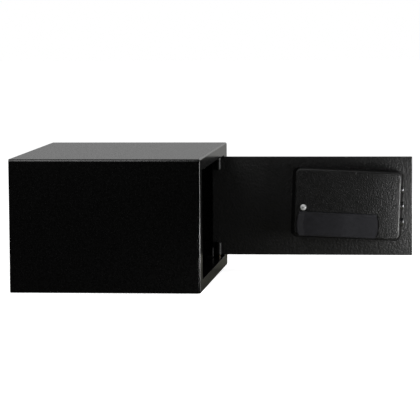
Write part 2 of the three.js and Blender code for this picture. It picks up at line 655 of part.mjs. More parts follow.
function addChassis(door) {
  const base = box(CHASSIS_LEFT, CHASSIS_RIGHT, CHASSIS_Y, CHASSIS_FACE, CHASSIS_BOTTOM, CHASSIS_TOP);
  const guideRight = CHASSIS_LEFT + GUIDE_SHEET;
  const guide = box(CHASSIS_LEFT, guideRight, CHASSIS_Y, CHASSIS_Y + GUIDE_HEIGHT,
    CARRIAGE_BOTTOM, CARRIAGE_TOP);
  const motorSide = MOTOR_WIDTH / 2 + SHELF_MARGIN;
  const shelf = box(PINION_X - motorSide, PINION_X + motorSide, CHASSIS_Y, CHASSIS_Y + SHELF_DEPTH,
    SHELF_BOTTOM, SHELF_TOP);
  const posts = boardPosts().map(([x, z]) => rodY(POST_RADIUS, CHASSIS_Y, BOARD_Y - GAP, x, z, 12));
  const peg = rodY(PEG_RADIUS, CHASSIS_Y, CHASSIS_FACE + PEG_HEIGHT, UPRIGHT_X + PEG_FROM_UPRIGHT,
    TONGUE_BOTTOM + SLOT_ABOVE_TONGUE, 16);
  const [screwX, screwZ] = onDoor(SCREW_X, SCREW_Z);
  const postTop = INNER_FACE + COVER_INNER - GAP;
  const screwPost = rodY(SCREW_POST_RADIUS, CHASSIS_Y, postTop, screwX, screwZ, 24);
  const screwDepth = SCREW_LENGTH - COVER_FACE;
  const screwHole = rodY(SCREW_RADIUS + GAP, postTop - screwDepth - GAP, postTop + PAST, screwX, screwZ, 16);
  const boltHoles = BOLT_PLACES.map(([, step]) => rodX(BOLT_RADIUS + SLIDE_GAP, CHASSIS_LEFT - PAST,
    guideRight + PAST, BOLT_Y, BOLT_MIDDLE_Z + step * BOLT_PITCH));
  const shaftHole = rodZ(SHAFT_RADIUS + GAP, SHELF_BOTTOM - PAST, SHELF_TOP + PAST, PINION_X, PINION_Y, 16);
  const cylinderHole = rodY(CYLINDER_RADIUS + GAP, CHASSIS_Y - PAST, CHASSIS_FACE + PAST,
    LOCK_AXIS_X, LOCK_AXIS_Z);
  const slot = cableSlot(CHASSIS_Y - PAST, CHASSIS_FACE + PAST);
  const cuts = [...boltHoles, screwHole, shaftHole, cylinderHole, slot];
  piece('lock_chassis', shaped([base, guide, shelf, peg, screwPost, ...posts], cuts), 'zinc', door);
}

// Rack teeth as prisms standing on the rack's root line, and the bar under them
function rackTeeth() {
  const pitch = Math.PI * MODULE;
  const root = PITCH_LINE - DEDENDUM;
  const tip = PITCH_LINE + ADDENDUM;
  const slope = Math.tan(PRESSURE_ANGLE);
  const halfAtPitch = pitch / 4 - SLIDE_GAP / 2;
  const first = PINION_X - RACK_SPARE;
  const count = Math.floor((BOLT_TRAVEL + 2 * RACK_SPARE) / pitch);
  const teeth = [];
  for (let index = 0; index <= count; index += 1) {
    const steps = Math.round((first - PINION_X) / pitch) + index;
    const middle = PINION_X + (steps + 0.5) * pitch;
    const shape = new THREE.Shape();
    shape.moveTo(middle - halfAtPitch - DEDENDUM * slope, root - GAP);
    shape.lineTo(middle + halfAtPitch + DEDENDUM * slope, root - GAP);
    shape.lineTo(middle + halfAtPitch - ADDENDUM * slope, tip);
    shape.lineTo(middle - halfAtPitch + ADDENDUM * slope, tip);
    teeth.push(prism(shape, PINION_BOTTOM, PINION_BOTTOM + PINION_FACE));
  }
  return { teeth, left: first - pitch, right: first + (count + 1) * pitch, root };
}

function addCarriage(door) {
  const upright = box(UPRIGHT_X, UPRIGHT_X + CARRIAGE_SHEET, CARRIAGE_Y, CARRIAGE_FACE + CARRIAGE_UPRIGHT,
    CARRIAGE_BOTTOM, CARRIAGE_TOP);
  const web = box(UPRIGHT_X, UPRIGHT_X + CARRIAGE_WEB, CARRIAGE_Y, CARRIAGE_FACE,
    CARRIAGE_BOTTOM, CARRIAGE_TOP);
  const tongue = box(UPRIGHT_X, TONGUE_END, CARRIAGE_Y, CARRIAGE_FACE, TONGUE_BOTTOM, TONGUE_TOP);
  const tabFoot = box(TONGUE_END - TAB_SHEET, TONGUE_END, CARRIAGE_Y, CARRIAGE_FACE + TAB_RISE,
    TONGUE_TOP - TAB_OVERLAP, TONGUE_TOP);
  const tab = box(TONGUE_END - TAB_SHEET, TONGUE_END, NUT_Y + NUT_HEIGHT + GAP, CARRIAGE_FACE + TAB_RISE,
    TONGUE_TOP - TAB_OVERLAP, TONGUE_TOP - TAB_OVERLAP + TAB_HEIGHT);
  const rack = rackTeeth();
  const rackBar = box(rack.left, rack.right, CARRIAGE_FACE - GAP, rack.root, PINION_BOTTOM,
    PINION_BOTTOM + PINION_FACE);
  const spigotHoles = BOLT_PLACES.map(([, step]) => rodX(SPIGOT_RADIUS + GAP, UPRIGHT_X - PAST,
    UPRIGHT_X + CARRIAGE_SHEET + PAST, BOLT_Y, BOLT_MIDDLE_Z + step * BOLT_PITCH, 24));
  const slotRadius = PEG_RADIUS + GAP;
  const slotLeft = UPRIGHT_X + PEG_FROM_UPRIGHT;
  const slotZ = TONGUE_BOTTOM + SLOT_ABOVE_TONGUE;
  const slot = slab(roundRect(slotLeft - slotRadius - GAP, slotLeft + BOLT_TRAVEL + slotRadius + GAP,
    slotZ - slotRadius, slotZ + slotRadius, slotRadius - WELD), CARRIAGE_Y - PAST, CARRIAGE_FACE + PAST);
  const joined = [web, upright, tongue, tabFoot, tab, rackBar, ...rack.teeth];
  piece('bolt_carriage', shaped(joined, [...spigotHoles, slot]), 'zinc', door);

  const shoulder = UPRIGHT_X - GAP - BOLT_TIP;
  const rivetStart = shoulder + CARRIAGE_SHEET + 2 * GAP;
  const profile = [
    [0, 0],
    [BOLT_RADIUS - BOLT_CHAMFER, 0],
    [BOLT_RADIUS, BOLT_CHAMFER],
    [BOLT_RADIUS, shoulder],
    [SPIGOT_RADIUS, shoulder],
    [SPIGOT_RADIUS, rivetStart],
    [RIVET_RADIUS, rivetStart],
    [RIVET_RADIUS - GAP, rivetStart + RIVET_HEAD],
    [0, rivetStart + RIVET_HEAD],
  ];
  for (const [place, step] of BOLT_PLACES) {
    const bolt = piece(`bolt_${place}`, turned(profile), 'chrome', door);
    bolt.rotation.z = -Math.PI / 2;
    bolt.position.set(BOLT_TIP, BOLT_Y, BOLT_MIDDLE_Z + step * BOLT_PITCH);
  }
}

// Pinion outline: straight-sided teeth, eased to run freely in the rack
function pinionShape() {
  const root = PITCH_RADIUS - DEDENDUM;
  const tip = PITCH_RADIUS + ADDENDUM;
  const step = 2 * Math.PI / PINION_TEETH;
  const rootHalf = TOOTH_ROOT_SHARE * step;
  const pitchHalf = TOOTH_PITCH_SHARE * step;
  const tipHalf = TOOTH_TIP_SHARE * step;
  const shape = new THREE.Shape();
  for (let tooth = 0; tooth < PINION_TEETH; tooth += 1) {
    const middle = -Math.PI / 2 + tooth * step;
    const corners = [
      [root, -rootHalf], [PITCH_RADIUS, -pitchHalf], [tip, -tipHalf],
      [tip, tipHalf], [PITCH_RADIUS, pitchHalf], [root, rootHalf],
    ];
    corners.forEach(([radius, offset], index) => {
      const x = radius * Math.cos(middle + offset);
      const y = radius * Math.sin(middle + offset);
      if (tooth === 0 && index === 0) {
        shape.moveTo(x, y);
      } else {
        shape.lineTo(x, y);
      }
    });
  }
  return shape;
}

function addDrive(door) {
  const bore = rodZ(SHAFT_RADIUS + GAP, PINION_BOTTOM - PAST, PINION_BOTTOM + PINION_FACE + PAST, 0, 0, 16);
  const gear = shaped([prism(pinionShape(), PINION_BOTTOM, PINION_BOTTOM + PINION_FACE)], [bore]);
  const pinion = piece('drive_pinion', gear, 'nylon', door);
  pinion.position.set(PINION_X, PINION_Y, 0);

  const boxBottom = SHELF_TOP + GAP;
  const boxTop = boxBottom + GEARBOX_LENGTH;
  const gearbox = box(PINION_X - MOTOR_WIDTH / 2, PINION_X + MOTOR_WIDTH / 2, PINION_Y - MOTOR_DEPTH / 2,
    PINION_Y + MOTOR_DEPTH / 2, boxBottom, boxTop);
  const can = rodZ(MOTOR_CAN_RADIUS, boxTop - PAST, boxTop + MOTOR_CAN_LENGTH, PINION_X, PINION_Y, 24);
  const flats = box(PINION_X - MOTOR_CAN_RADIUS, PINION_X + MOTOR_CAN_RADIUS, PINION_Y - MOTOR_DEPTH / 2,
    PINION_Y + MOTOR_DEPTH / 2, boxTop - PAST, boxTop + MOTOR_CAN_LENGTH);
  const shaft = rodZ(SHAFT_RADIUS, PINION_BOTTOM - GAP, boxBottom + PAST, PINION_X, PINION_Y, 16);
  piece('gear_motor', shaped([gearbox, common(can, flats), shaft]), 'zinc', door);
}

// Circuit board and its cable

function addElectronics(door) {
  const left = COVER_X + BOARD_FREE_END;
  const right = COVER_X + BOARD_HINGE_END;
  const bottom = COVER_Z + BOARD_BOTTOM;
  const top = COVER_Z + BOARD_TOP;
  const face = BOARD_Y + BOARD_THICKNESS;
  const plate = box(left, right, BOARD_Y, face, bottom, top);
  const buzzerX = left + 2 * BUZZER_RADIUS;
  const buzzerZ = top - 2 * BUZZER_RADIUS;
  const buzzer = rodY(BUZZER_RADIUS, face - GAP, face + BUZZER_HEIGHT, buzzerX, buzzerZ);
  const chipX = (left + right) / 2;
  const chipZ = (bottom + top) / 2;
  const chip = box(chipX - CHIP_WIDTH / 2, chipX + CHIP_WIDTH / 2, face - GAP, face + CHIP_THICKNESS,
    chipZ - CHIP_HEIGHT / 2, chipZ + CHIP_HEIGHT / 2);
  piece('main_board', shaped([plate, buzzer, chip]), 'boardGreen', door);

  const x = COVER_X + CABLE_X;
  const z = COVER_Z + CABLE_Z;
  const half = CABLE_THICKNESS / 2;
  const zLow = z - CABLE_WIDTH / 2;
  const zHigh = z + CABLE_WIDTH / 2;
  const endY = BOARD_Y - GAP;
  const run = box(x - half, x + half, KEY_BOARD_BACK + GAP, endY, zLow, zHigh);
  const overBoard = box(right - CABLE_OVER_BOARD, x + half, endY - CABLE_THICKNESS, endY, zLow, zHigh);
  piece('keypad_cable', shaped([run, overBoard]), 'cable', door);
}

// Keypad

function keyPlace(index) {
  const column = index % KEY_COLUMNS;
  const row = Math.floor(index / KEY_COLUMNS);
  const x = COVER_X + (column - (KEY_COLUMNS - 1) / 2) * KEY_PITCH_X;
  const z = BEZEL_Z + KEY_ROW_Z + (0.5 - row) * KEY_PITCH_Z;
  return [x, z];
}

function rectAt(x, z, width, height, radius) {
  return roundRect(x - width / 2, x + width / 2, z - height / 2, z + height / 2, radius);
}

function addKeypad(door) {
  const outline = rectAt(COVER_X, BEZEL_Z, BEZEL_WIDTH, BEZEL_HEIGHT, BEZEL_CORNER_RADIUS);
  const outer = slab(outline, BEZEL_FACE, BEZEL_BACK);
  const hollow = slab(rectAt(COVER_X, BEZEL_Z, BEZEL_WIDTH - 2 * BEZEL_WALL, BEZEL_HEIGHT - 2 * BEZEL_WALL,
    BEZEL_CORNER_RADIUS - BEZEL_WALL), BEZEL_INNER, BEZEL_BACK + PAST);
  const keyHoles = KEY_NAMES.map((name, index) => {
    const [x, z] = keyPlace(index);
    const hole = rectAt(x, z, KEY_WIDTH + 2 * SLIDE_GAP, KEY_HEIGHT + 2 * SLIDE_GAP, KEY_RADIUS + SLIDE_GAP);
    return slab(hole, BEZEL_FACE - PAST, BEZEL_INNER + PAST, 1);
  });
  const windowX = COVER_X + WINDOW_X;
  const windowZ = BEZEL_Z + WINDOW_Z;
  const windowHole = slab(rectAt(windowX, windowZ, WINDOW_WIDTH + 2 * GAP, WINDOW_HEIGHT + 2 * GAP,
    WINDOW_CORNER_RADIUS + GAP), BEZEL_FACE - PAST, BEZEL_INNER + PAST);
  const lockHole = rodY(CYLINDER_RADIUS + GAP, BEZEL_FACE - PAST, BEZEL_INNER + PAST,
    LOCK_AXIS_X, LOCK_AXIS_Z);
  const rivetHole = rodY(RIVET_PIN_RADIUS + GAP, BEZEL_FACE - PAST, BEZEL_INNER + PAST,
    LOCK_AXIS_X, CAP_PIVOT_Z, 16);
  const bezelCuts = [hollow, windowHole, lockHole, rivetHole, ...keyHoles];
  piece('keypad_bezel', shaped([outer], bezelCuts), 'blackPlastic', door);

  const lens = slab(rectAt(windowX, windowZ, WINDOW_WIDTH, WINDOW_HEIGHT, WINDOW_CORNER_RADIUS),
    BEZEL_FACE + GAP, BEZEL_FACE + GAP + WINDOW_THICKNESS);
  piece('display_window', lens, 'window', door);
  const displayWidth = WINDOW_WIDTH - 2 * DISPLAY_MARGIN;
  const displayHeight = WINDOW_HEIGHT - DISPLAY_MARGIN;
  const displayBack = KEY_BOARD_FRONT - GAP;
  const display = box(windowX - displayWidth / 2, windowX + displayWidth / 2,
    displayBack - DISPLAY_DEPTH, displayBack, windowZ - displayHeight / 2, windowZ + displayHeight / 2);
  piece('display_module', display, 'blackPlastic', door);

  KEY_NAMES.forEach((name, index) => {
    const [x, z] = keyPlace(index);
    const cap = slab(rectAt(x, z, KEY_WIDTH, KEY_HEIGHT, KEY_RADIUS), BEZEL_FACE - KEY_PROUD, KEY_BACK, 1);
    const lip = slab(rectAt(x, z, KEY_WIDTH + 2 * KEY_LIP, KEY_HEIGHT + 2 * KEY_LIP, KEY_RADIUS),
      BEZEL_INNER + GAP, BEZEL_INNER + GAP + KEY_LIP_SHEET, 1);
    piece(`key_${name}`, shaped([cap, lip]), 'keyGrey', door);
  });

  const boardLeft = COVER_X - BEZEL_WIDTH / 2 + KEY_BOARD_MARGIN;
  const boardRight = COVER_X + BEZEL_WIDTH / 2 - KEY_BOARD_MARGIN;
  const boardBottom = BEZEL_Z - BEZEL_HEIGHT / 2 + BEZEL_WALL + GAP;
  const boardTop = BEZEL_Z + BEZEL_HEIGHT / 2 - BEZEL_WALL - GAP;
  const matTop = BEZEL_Z + KEY_ROW_Z + KEY_PITCH_Z / 2 + KEY_HEIGHT;
  const mat = box(boardLeft, boardRight, KEY_MAT_FRONT, KEY_MAT_FRONT + KEY_MAT_THICKNESS,
    boardBottom, matTop);
  piece('key_mat', mat, 'rubber', door);
  const board = box(boardLeft, boardRight, KEY_BOARD_FRONT, KEY_BOARD_BACK, boardBottom, boardTop);
  const boardHole = rodY(CYLINDER_FLANGE_RADIUS + GAP, KEY_BOARD_FRONT - PAST, KEY_BOARD_BACK + PAST,
    LOCK_AXIS_X, LOCK_AXIS_Z);
  piece('keypad_board', shaped([board], [boardHole]), 'boardGreen', door);

  const capBack = BEZEL_FACE - GAP;
  const capFront = capBack - KEYHOLE_CAP_SHEET;
  const disc = rodY(KEYHOLE_CAP_RADIUS, capFront, capBack, LOCK_AXIS_X, LOCK_AXIS_Z, 24);
  const ear = rodY(KEYHOLE_CAP_EAR, capFront, capBack, LOCK_AXIS_X, CAP_PIVOT_Z, 24);
  const neck = box(LOCK_AXIS_X - KEYHOLE_CAP_EAR, LOCK_AXIS_X + KEYHOLE_CAP_EAR, capFront, capBack,
    LOCK_AXIS_Z, CAP_PIVOT_Z);
  const earHole = rodY(RIVET_PIN_RADIUS + GAP, capFront - PAST, capBack + PAST, LOCK_AXIS_X, CAP_PIVOT_Z, 16);
  piece('keyhole_cap', shaped([disc, ear, neck], [earHole]), 'smoothPlastic', door);

  const headBack = capFront - GAP;
  const head = rodY(RIVET_PIN_HEAD_RADIUS, headBack - PAST, headBack, LOCK_AXIS_X, CAP_PIVOT_Z, 20);
  const shank = rodY(RIVET_PIN_RADIUS, headBack - GAP, BEZEL_INNER, LOCK_AXIS_X, CAP_PIVOT_Z, 16);
  piece('keyhole_cap_rivet', shaped([head, shank]), 'zinc', door);
}

// Askew group: lock cover, battery cover, tray, cells, contacts and screw

// Solid outer form of the lock cover, with its face edge rounded
function coverForm() {
  const round = COVER_EDGE_RADIUS;
  const shape = rectAt(0, 0, COVER_WIDTH, COVER_HEIGHT, COVER_CORNER_RADIUS);
  const geometry = new THREE.ExtrudeGeometry(shape, {
    depth: COVER_DEPTH - round,
    bevelEnabled: true,
    bevelThickness: round,
    bevelSize: round,
    bevelOffset: -round,
    bevelSegments: 3,
    curveSegments: 5,
  });
  geometry.rotateX(Math.PI / 2).translate(0, COVER_DEPTH - round, 0);
  const under = box(-COVER_WIDTH, COVER_WIDTH, -2 * round, GAP, -COVER_HEIGHT, COVER_HEIGHT);
  return shaped([geometry], [under]);
}

// Outline of the battery cover, whose two ends bow outward
function batteryOutline(grow) {
  const left = BATTERY_COVER_FREE_END - grow;
  const right = BATTERY_COVER_HINGE_END + grow;
  const top = BATTERY_COVER_TOP + grow;
  const bottom = -COVER_HEIGHT / 2 - PAST;
  const middle = (top + bottom) / 2;
  const shape = new THREE.Shape();
  shape.moveTo(left, bottom);
  shape.lineTo(right, bottom);
  shape.quadraticCurveTo(right + 2 * BATTERY_COVER_BULGE, middle, right, top);
  shape.lineTo(left, top);
  shape.quadraticCurveTo(left - 2 * BATTERY_COVER_BULGE, middle, left, bottom);
  return shape;
}

function trayHalf() {
  const ends = 2 * (GAP + CONTACT_SHEET + CONTACT_SPRING + GAP);
  return {
    x: (2 * CELL_LENGTH + 2 * CELL_TIP + GAP + ends) / 2,
    z: CELL_PITCH / 2 + CELL_RADIUS + TRAY_MARGIN,
  };
}

function addLockCover(askew) {
  const form = coverForm();
  const hollow = slab(rectAt(0, 0, COVER_WIDTH - 2 * COVER_WALL, COVER_HEIGHT - 2 * COVER_WALL,
    COVER_CORNER_RADIUS - COVER_WALL), -PAST, COVER_INNER);
  const recess = slab(batteryOutline(GAP), COVER_DEPTH - BATTERY_COVER_RECESS, COVER_DEPTH + PAST, 10);
  const half = trayHalf();
  const mouth = box(TRAY_MIDDLE_X - half.x, TRAY_MIDDLE_X + half.x, COVER_INNER - PAST, COVER_DEPTH + PAST,
    TRAY_MIDDLE_Z - half.z, TRAY_MIDDLE_Z + half.z);
  const screwHole = rodY(SCREW_RADIUS + 2 * GAP, COVER_INNER - PAST, COVER_DEPTH + PAST,
    SCREW_X, SCREW_Z, 16);
  const wallMiddle = -COVER_WIDTH / 2 + COVER_WALL / 2;
  const boltHoles = BOLT_PLACES.map(([, step]) => {
    const z = BOLT_MIDDLE_Z - COVER_Z + step * BOLT_PITCH;
    const hole = rodX(BOLT_RADIUS + BOLT_HOLE_CLEARANCE, wallMiddle - 2 * COVER_WALL,
      wallMiddle + 2 * COVER_WALL, BOLT_FROM_DOOR, z);
    return hole.rotateY(COVER_TILT);
  });
  const coverCuts = [hollow, recess, mouth, screwHole, ...boltHoles];
  piece('lock_cover', shaped([form], coverCuts), 'blackPlastic', askew);

  const plateBack = COVER_DEPTH - BATTERY_COVER_THICKNESS;
  const plate = common(slab(batteryOutline(0), plateBack, COVER_DEPTH, 10), form);
  const hookX = TRAY_MIDDLE_X - HOOK_WIDTH / 2;
  const hooks = [-1, 1].map((side) => {
    const edge = TRAY_MIDDLE_Z + side * (half.z - GAP);
    const inner = edge - side * HOOK_SHEET;
    return box(hookX, hookX + HOOK_WIDTH, plateBack - HOOK_DROP, plateBack + GAP,
      Math.min(edge, inner), Math.max(edge, inner));
  });
  piece('battery_cover', shaped([plate, ...hooks]), 'smoothPlastic', askew);

  const headBase = COVER_DEPTH + GAP;
  const sphereRadius = (SCREW_HEAD_RADIUS ** 2 + SCREW_HEAD ** 2) / (2 * SCREW_HEAD);
  const profile = [
    [0, headBase - SCREW_LENGTH],
    [SCREW_RADIUS / 2, headBase - SCREW_LENGTH],
    [SCREW_RADIUS, headBase - SCREW_LENGTH + SCREW_RADIUS / 2],
    [SCREW_RADIUS, headBase],
    [SCREW_HEAD_RADIUS, headBase],
  ];
  const domeSteps = 4;
  const widest = Math.asin(SCREW_HEAD_RADIUS / sphereRadius);
  for (let step = 1; step <= domeSteps; step += 1) {
    const angle = widest * (1 - step / domeSteps);
    const radius = sphereRadius * Math.sin(angle);
    profile.push([radius, headBase + SCREW_HEAD - sphereRadius * (1 - Math.cos(angle))]);
  }
  const slot = box(-SCREW_HEAD_RADIUS, SCREW_HEAD_RADIUS, headBase + SCREW_HEAD - SCREW_SLOT_DEPTH,
    headBase + SCREW_HEAD + PAST, -SCREW_SLOT_WIDTH / 2, SCREW_SLOT_WIDTH / 2).rotateY(Math.PI / 4);
  const screw = piece('cover_screw', shaped([turned(profile)], [slot]), 'chrome', askew);
  screw.position.set(SCREW_X, 0, SCREW_Z);
}

function addBatteries(askew) {
  const half = trayHalf();
  const rim = COVER_INNER - GAP;
  const cellY = COVER_INNER - CELL_RADIUS - 2 * GAP;
  const floorFace = cellY - CELL_RADIUS - GAP;
  const outer = box(TRAY_MIDDLE_X - half.x - TRAY_WALL, TRAY_MIDDLE_X + half.x + TRAY_WALL,
    floorFace - TRAY_WALL, rim, TRAY_MIDDLE_Z - half.z - TRAY_WALL, TRAY_MIDDLE_Z + half.z + TRAY_WALL);
  const inner = box(TRAY_MIDDLE_X - half.x, TRAY_MIDDLE_X + half.x, floorFace, rim + PAST,
    TRAY_MIDDLE_Z - half.z, TRAY_MIDDLE_Z + half.z);
  piece('battery_tray', shaped([outer], [inner]), 'blackPlastic', askew);

  const profile = [
    [0, 0],
    [CELL_RADIUS, 0],
    [CELL_RADIUS, CELL_LENGTH],
    [CELL_TIP_RADIUS, CELL_LENGTH],
    [CELL_TIP_RADIUS, CELL_LENGTH + CELL_TIP],
    [0, CELL_LENGTH + CELL_TIP],
  ];
  const start = TRAY_MIDDLE_X - half.x + GAP + CONTACT_SHEET + CONTACT_SPRING + GAP;
  for (let index = 0; index < 4; index += 1) {
    const row = index % 2 === 0 ? 1 : -1;
    const along = Math.floor(index / 2) * (CELL_LENGTH + CELL_TIP + GAP);
    const cell = piece(`battery_${index + 1}`, turned(profile, 20), 'cell', askew);
    cell.rotation.z = -Math.PI / 2;
    cell.position.set(start + along, cellY, TRAY_MIDDLE_Z + row * CELL_PITCH / 2);
  }

  for (const [place, side] of [['free', -1], ['hinge', 1]]) {
    const wall = TRAY_MIDDLE_X + side * (half.x - GAP);
    const face = wall - side * CONTACT_SHEET;
    const low = TRAY_MIDDLE_Z - CELL_PITCH / 2 - CONTACT_WIDTH / 2;
    const high = TRAY_MIDDLE_Z + CELL_PITCH / 2 + CONTACT_WIDTH / 2;
    const plate = box(Math.min(wall, face), Math.max(wall, face), floorFace + GAP,
      cellY + CONTACT_WIDTH / 2, low, high);
    const springs = [-1, 1].map((row) => {
      const length = CONTACT_SPRING + CONTACT_SHEET / 2;
      const spring = new THREE.CylinderGeometry(SPRING_TIP_RADIUS, SPRING_BASE_RADIUS, length, 20);
      spring.rotateZ(side * Math.PI / 2);
      const middle = face - side * (CONTACT_SPRING - CONTACT_SHEET / 2) / 2;
      return spring.translate(middle, cellY, TRAY_MIDDLE_Z + row * CELL_PITCH / 2);
    });
    piece(`battery_contact_${place}`, shaped([plate, ...springs]), 'zinc', askew);
  }
}

const safe = new THREE.Group();
addBody(safe);
addFrame(safe);
addFixedHinges(safe);

const door = new THREE.Group();
door.position.set(PIVOT_X, PIVOT_Y, 0);
door.rotation.z = DOOR_OPEN_ANGLE;
safe.add(door);
addDoorPlate(door);
addOverrideLock(door);
addChassis(door);
addCarriage(door);
addDrive(door);
addElectronics(door);
addKeypad(door);

const askew = new THREE.Group();
askew.position.set(COVER_X, INNER_FACE, COVER_Z);
askew.rotation.y = -COVER_TILT;
door.add(askew);
addLockCover(askew);
addBatteries(askew);

export default safe;
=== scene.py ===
"""Dressed model of an electronic safe with its door open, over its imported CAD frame.

Sizes in the classes are millimetres, other than the studio's. Points become metres where a mesh is made.
"""

import logging
import math
from dataclasses import dataclass, field
from enum import Enum
from functools import partial
from typing import Any, Callable, Sequence

import bpy
import numpy as np
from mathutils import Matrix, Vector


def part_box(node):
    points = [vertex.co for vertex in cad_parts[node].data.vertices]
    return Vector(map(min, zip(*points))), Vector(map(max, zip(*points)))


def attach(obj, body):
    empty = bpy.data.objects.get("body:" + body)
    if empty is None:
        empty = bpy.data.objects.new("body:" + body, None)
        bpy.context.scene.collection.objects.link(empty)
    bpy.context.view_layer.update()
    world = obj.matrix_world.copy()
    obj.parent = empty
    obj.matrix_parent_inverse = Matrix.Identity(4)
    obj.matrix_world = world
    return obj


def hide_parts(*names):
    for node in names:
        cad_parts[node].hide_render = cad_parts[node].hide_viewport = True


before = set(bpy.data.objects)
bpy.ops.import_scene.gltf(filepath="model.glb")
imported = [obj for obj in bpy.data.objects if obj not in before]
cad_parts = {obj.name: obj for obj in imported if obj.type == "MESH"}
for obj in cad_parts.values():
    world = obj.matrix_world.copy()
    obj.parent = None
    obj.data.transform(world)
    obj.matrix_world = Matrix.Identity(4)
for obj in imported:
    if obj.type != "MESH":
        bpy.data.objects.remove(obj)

MM = 0.001
LOG = logging.getLogger("electronic_safe")
SMALLEST_CORNER = 0.04
SMALLEST_RADIUS = 0.02

Outline = Callable[[float], np.ndarray]
Tree = bpy.types.NodeTree
Node = bpy.types.Node
Socket = bpy.types.NodeSocket
Values = dict[Any, Any]
Sides = tuple[float, float, float, float]

# Node types and settings that many node trees share
MATH = "ShaderNodeMath"
RANGE = "ShaderNodeMapRange"
MIX = "ShaderNodeMix"
COLOURS = {"data_type": "RGBA"}
SMOOTH = {"interpolation_type": "SMOOTHSTEP"}
HIGHER = {"operation": "MAXIMUM"}
TIMES = {"operation": "MULTIPLY"}
TIMES_PLUS = {"operation": "MULTIPLY_ADD"}


class Run(Enum):
    """Axis that a turned or drawn form runs along, as the order of its columns."""

    ALONG_X = (2, 0, 1)
    ALONG_Y = (0, 2, 1)
    ALONG_Z = (0, 1, 2)


# Forms


@dataclass(frozen=True)
class Form:
    """A closed shape: points in millimetres, and faces as tuples of point numbers."""

    points: np.ndarray
    faces: list[tuple[int, ...]]

    def volume(self) -> float:
        """Signed volume: the sum of the tetrahedra from the origin to each face's fan.

        Returns:
            Cubic millimetres, below zero where the faces point inwards.
        """
        fans = [(face[0], *pair) for face in self.faces for pair in zip(face[1:], face[2:])]
        first, second, third = (self.points[np.array(column)] for column in zip(*fans))
        return float(np.einsum("ij,ij->i", first, np.cross(second, third)).sum() / 6)

    def facing_out(self) -> "Form":
        """The same shape with its faces pointing outwards.

        Returns:
            The shape, which is itself where they already do.
        """
        if self.volume() >= 0:
            return self
        return Form(self.points, [face[::-1] for face in self.faces])

    def placed(self, matrix: np.ndarray) -> "Form":
        """The shape with a 4 by 4 placement, in millimetres, applied to its points."""
        return Form(self.points @ matrix[:3, :3].T + matrix[:3, 3], self.faces)

    def moved(self, x: float = 0.0, y: float = 0.0, z: float = 0.0) -> "Form":
        """The shape moved by x, y and z."""
        return Form(self.points + np.array([x, y, z]), self.faces)

    def joined(self, *others: "Form") -> "Form":
        """This shape and others as one list of points and faces.

        Args:
            others: The shapes to add.

        Returns:
            One shape of several closed bodies.
        """
        points, faces = self.points, list(self.faces)
        for other in others:
            start = len(points)
            points = np.vstack([points, other.points])
            faces += [tuple(number + start for number in face) for face in other.faces]
        return Form(points, faces)


def loft(rings: np.ndarray, endless: bool = False) -> Form:
    """Skins closed rings with quads.

    Quad (i, j) joins points j and j + 1 of ring i to the same points of ring i + 1.

    Args:
        rings: Array of m rings by n points by 3.
        endless: True joins the last ring to the first; False closes both ends with a face.

    Returns:
        The closed shape.
    """
    count, around = rings.shape[:2]
    numbers = np.arange(count * around).reshape(count, around)
    here = numbers if endless else numbers[:-1]
    after = np.roll(numbers, -1, axis=0) if endless else numbers[1:]
    quads = np.stack([here, np.roll(here, -1, 1), np.roll(after, -1, 1), after], axis=-1)
    faces = [tuple(quad) for quad in quads.reshape(-1, 4).tolist()]
    if not endless:
        faces += [tuple(numbers[0][::-1].tolist()), tuple(numbers[-1].tolist())]
    return Form(rings.reshape(-1, 3), faces).facing_out()


def pillow(face: np.ndarray, back: np.ndarray) -> Form:
    """Closes two grids of the same size into one shape: both grids, and a wall round their borders.

    Args:
        face: Array of a by b by 3 points of the front.
        back: The same for the back.

    Returns:
        The closed shape.
    """
    rows, columns = face.shape[:2]
    numbers = np.arange(rows * columns).reshape(rows, columns)
    cells = np.stack([numbers[:-1, :-1], numbers[1:, :-1], numbers[1:, 1:], numbers[:-1, 1:]], axis=-1)
    front = cells.reshape(-1, 4)
    border = np.concatenate([numbers[0, :-1], numbers[:-1, -1], numbers[-1, :0:-1], numbers[:0:-1, 0]])
    after = np.roll(border, -1)
    offset = rows * columns
    wall = np.stack([border, after, after + offset, border + offset], axis=-1)
    faces = np.vstack([front, front[:, ::-1] + offset, wall])
    points = np.vstack([face.reshape(-1, 3), back.reshape(-1, 3)])
    return Form(points, [tuple(item) for item in faces.tolist()]).facing_out()


def edge_run(radius: float, steps: int) -> tuple[np.ndarray, np.ndarray]:
    """Steps along a quarter-round edge: at angle t it is radius * (1 - sin t) in and radius * (1 - cos t) down."""
    turn = np.linspace(0.0, math.pi / 2, steps + 1 if radius > 0 else 1)
    return radius * (1 - np.sin(turn)), radius * (1 - np.cos(turn))


def round_rect(x0: float, x1: float, z0: float, z1: float, radius: float, steps: int = 8) -> Outline:
    """Outline of a rectangle with round corners, as four quarter arcs.

    Args:
        x0: Left side.
        x1: Right side.
        z0: Bottom.
        z1: Top.
        radius: Radius of the corners.
        steps: Chords in each corner.

    Returns:
        A function that gives the outline, moved in by a distance, as n by 2 points.
    """
    turns = np.radians(np.array([-90.0, 0.0, 90.0, 180.0]))[:, None] + np.linspace(0, math.pi / 2, steps + 1)
    signs = np.array([[1, -1], [1, 1], [-1, 1], [-1, -1]])

    def outline(inset: float) -> np.ndarray:
        """The points, moved in by a distance.

        Args:
            inset: The distance.

        Returns:
            Points across and up.
        """
        corner = max(radius - inset, SMALLEST_CORNER)
        half = np.array([(x1 - x0) / 2, (z1 - z0) / 2]) - inset - corner
        middle = np.array([(x0 + x1) / 2, (z0 + z1) / 2])
        centres = middle + signs * half
        arcs = centres[:, None, :] + corner * np.stack([np.cos(turns), np.sin(turns)], axis=-1)
        return arcs.reshape(-1, 2)

    return outline


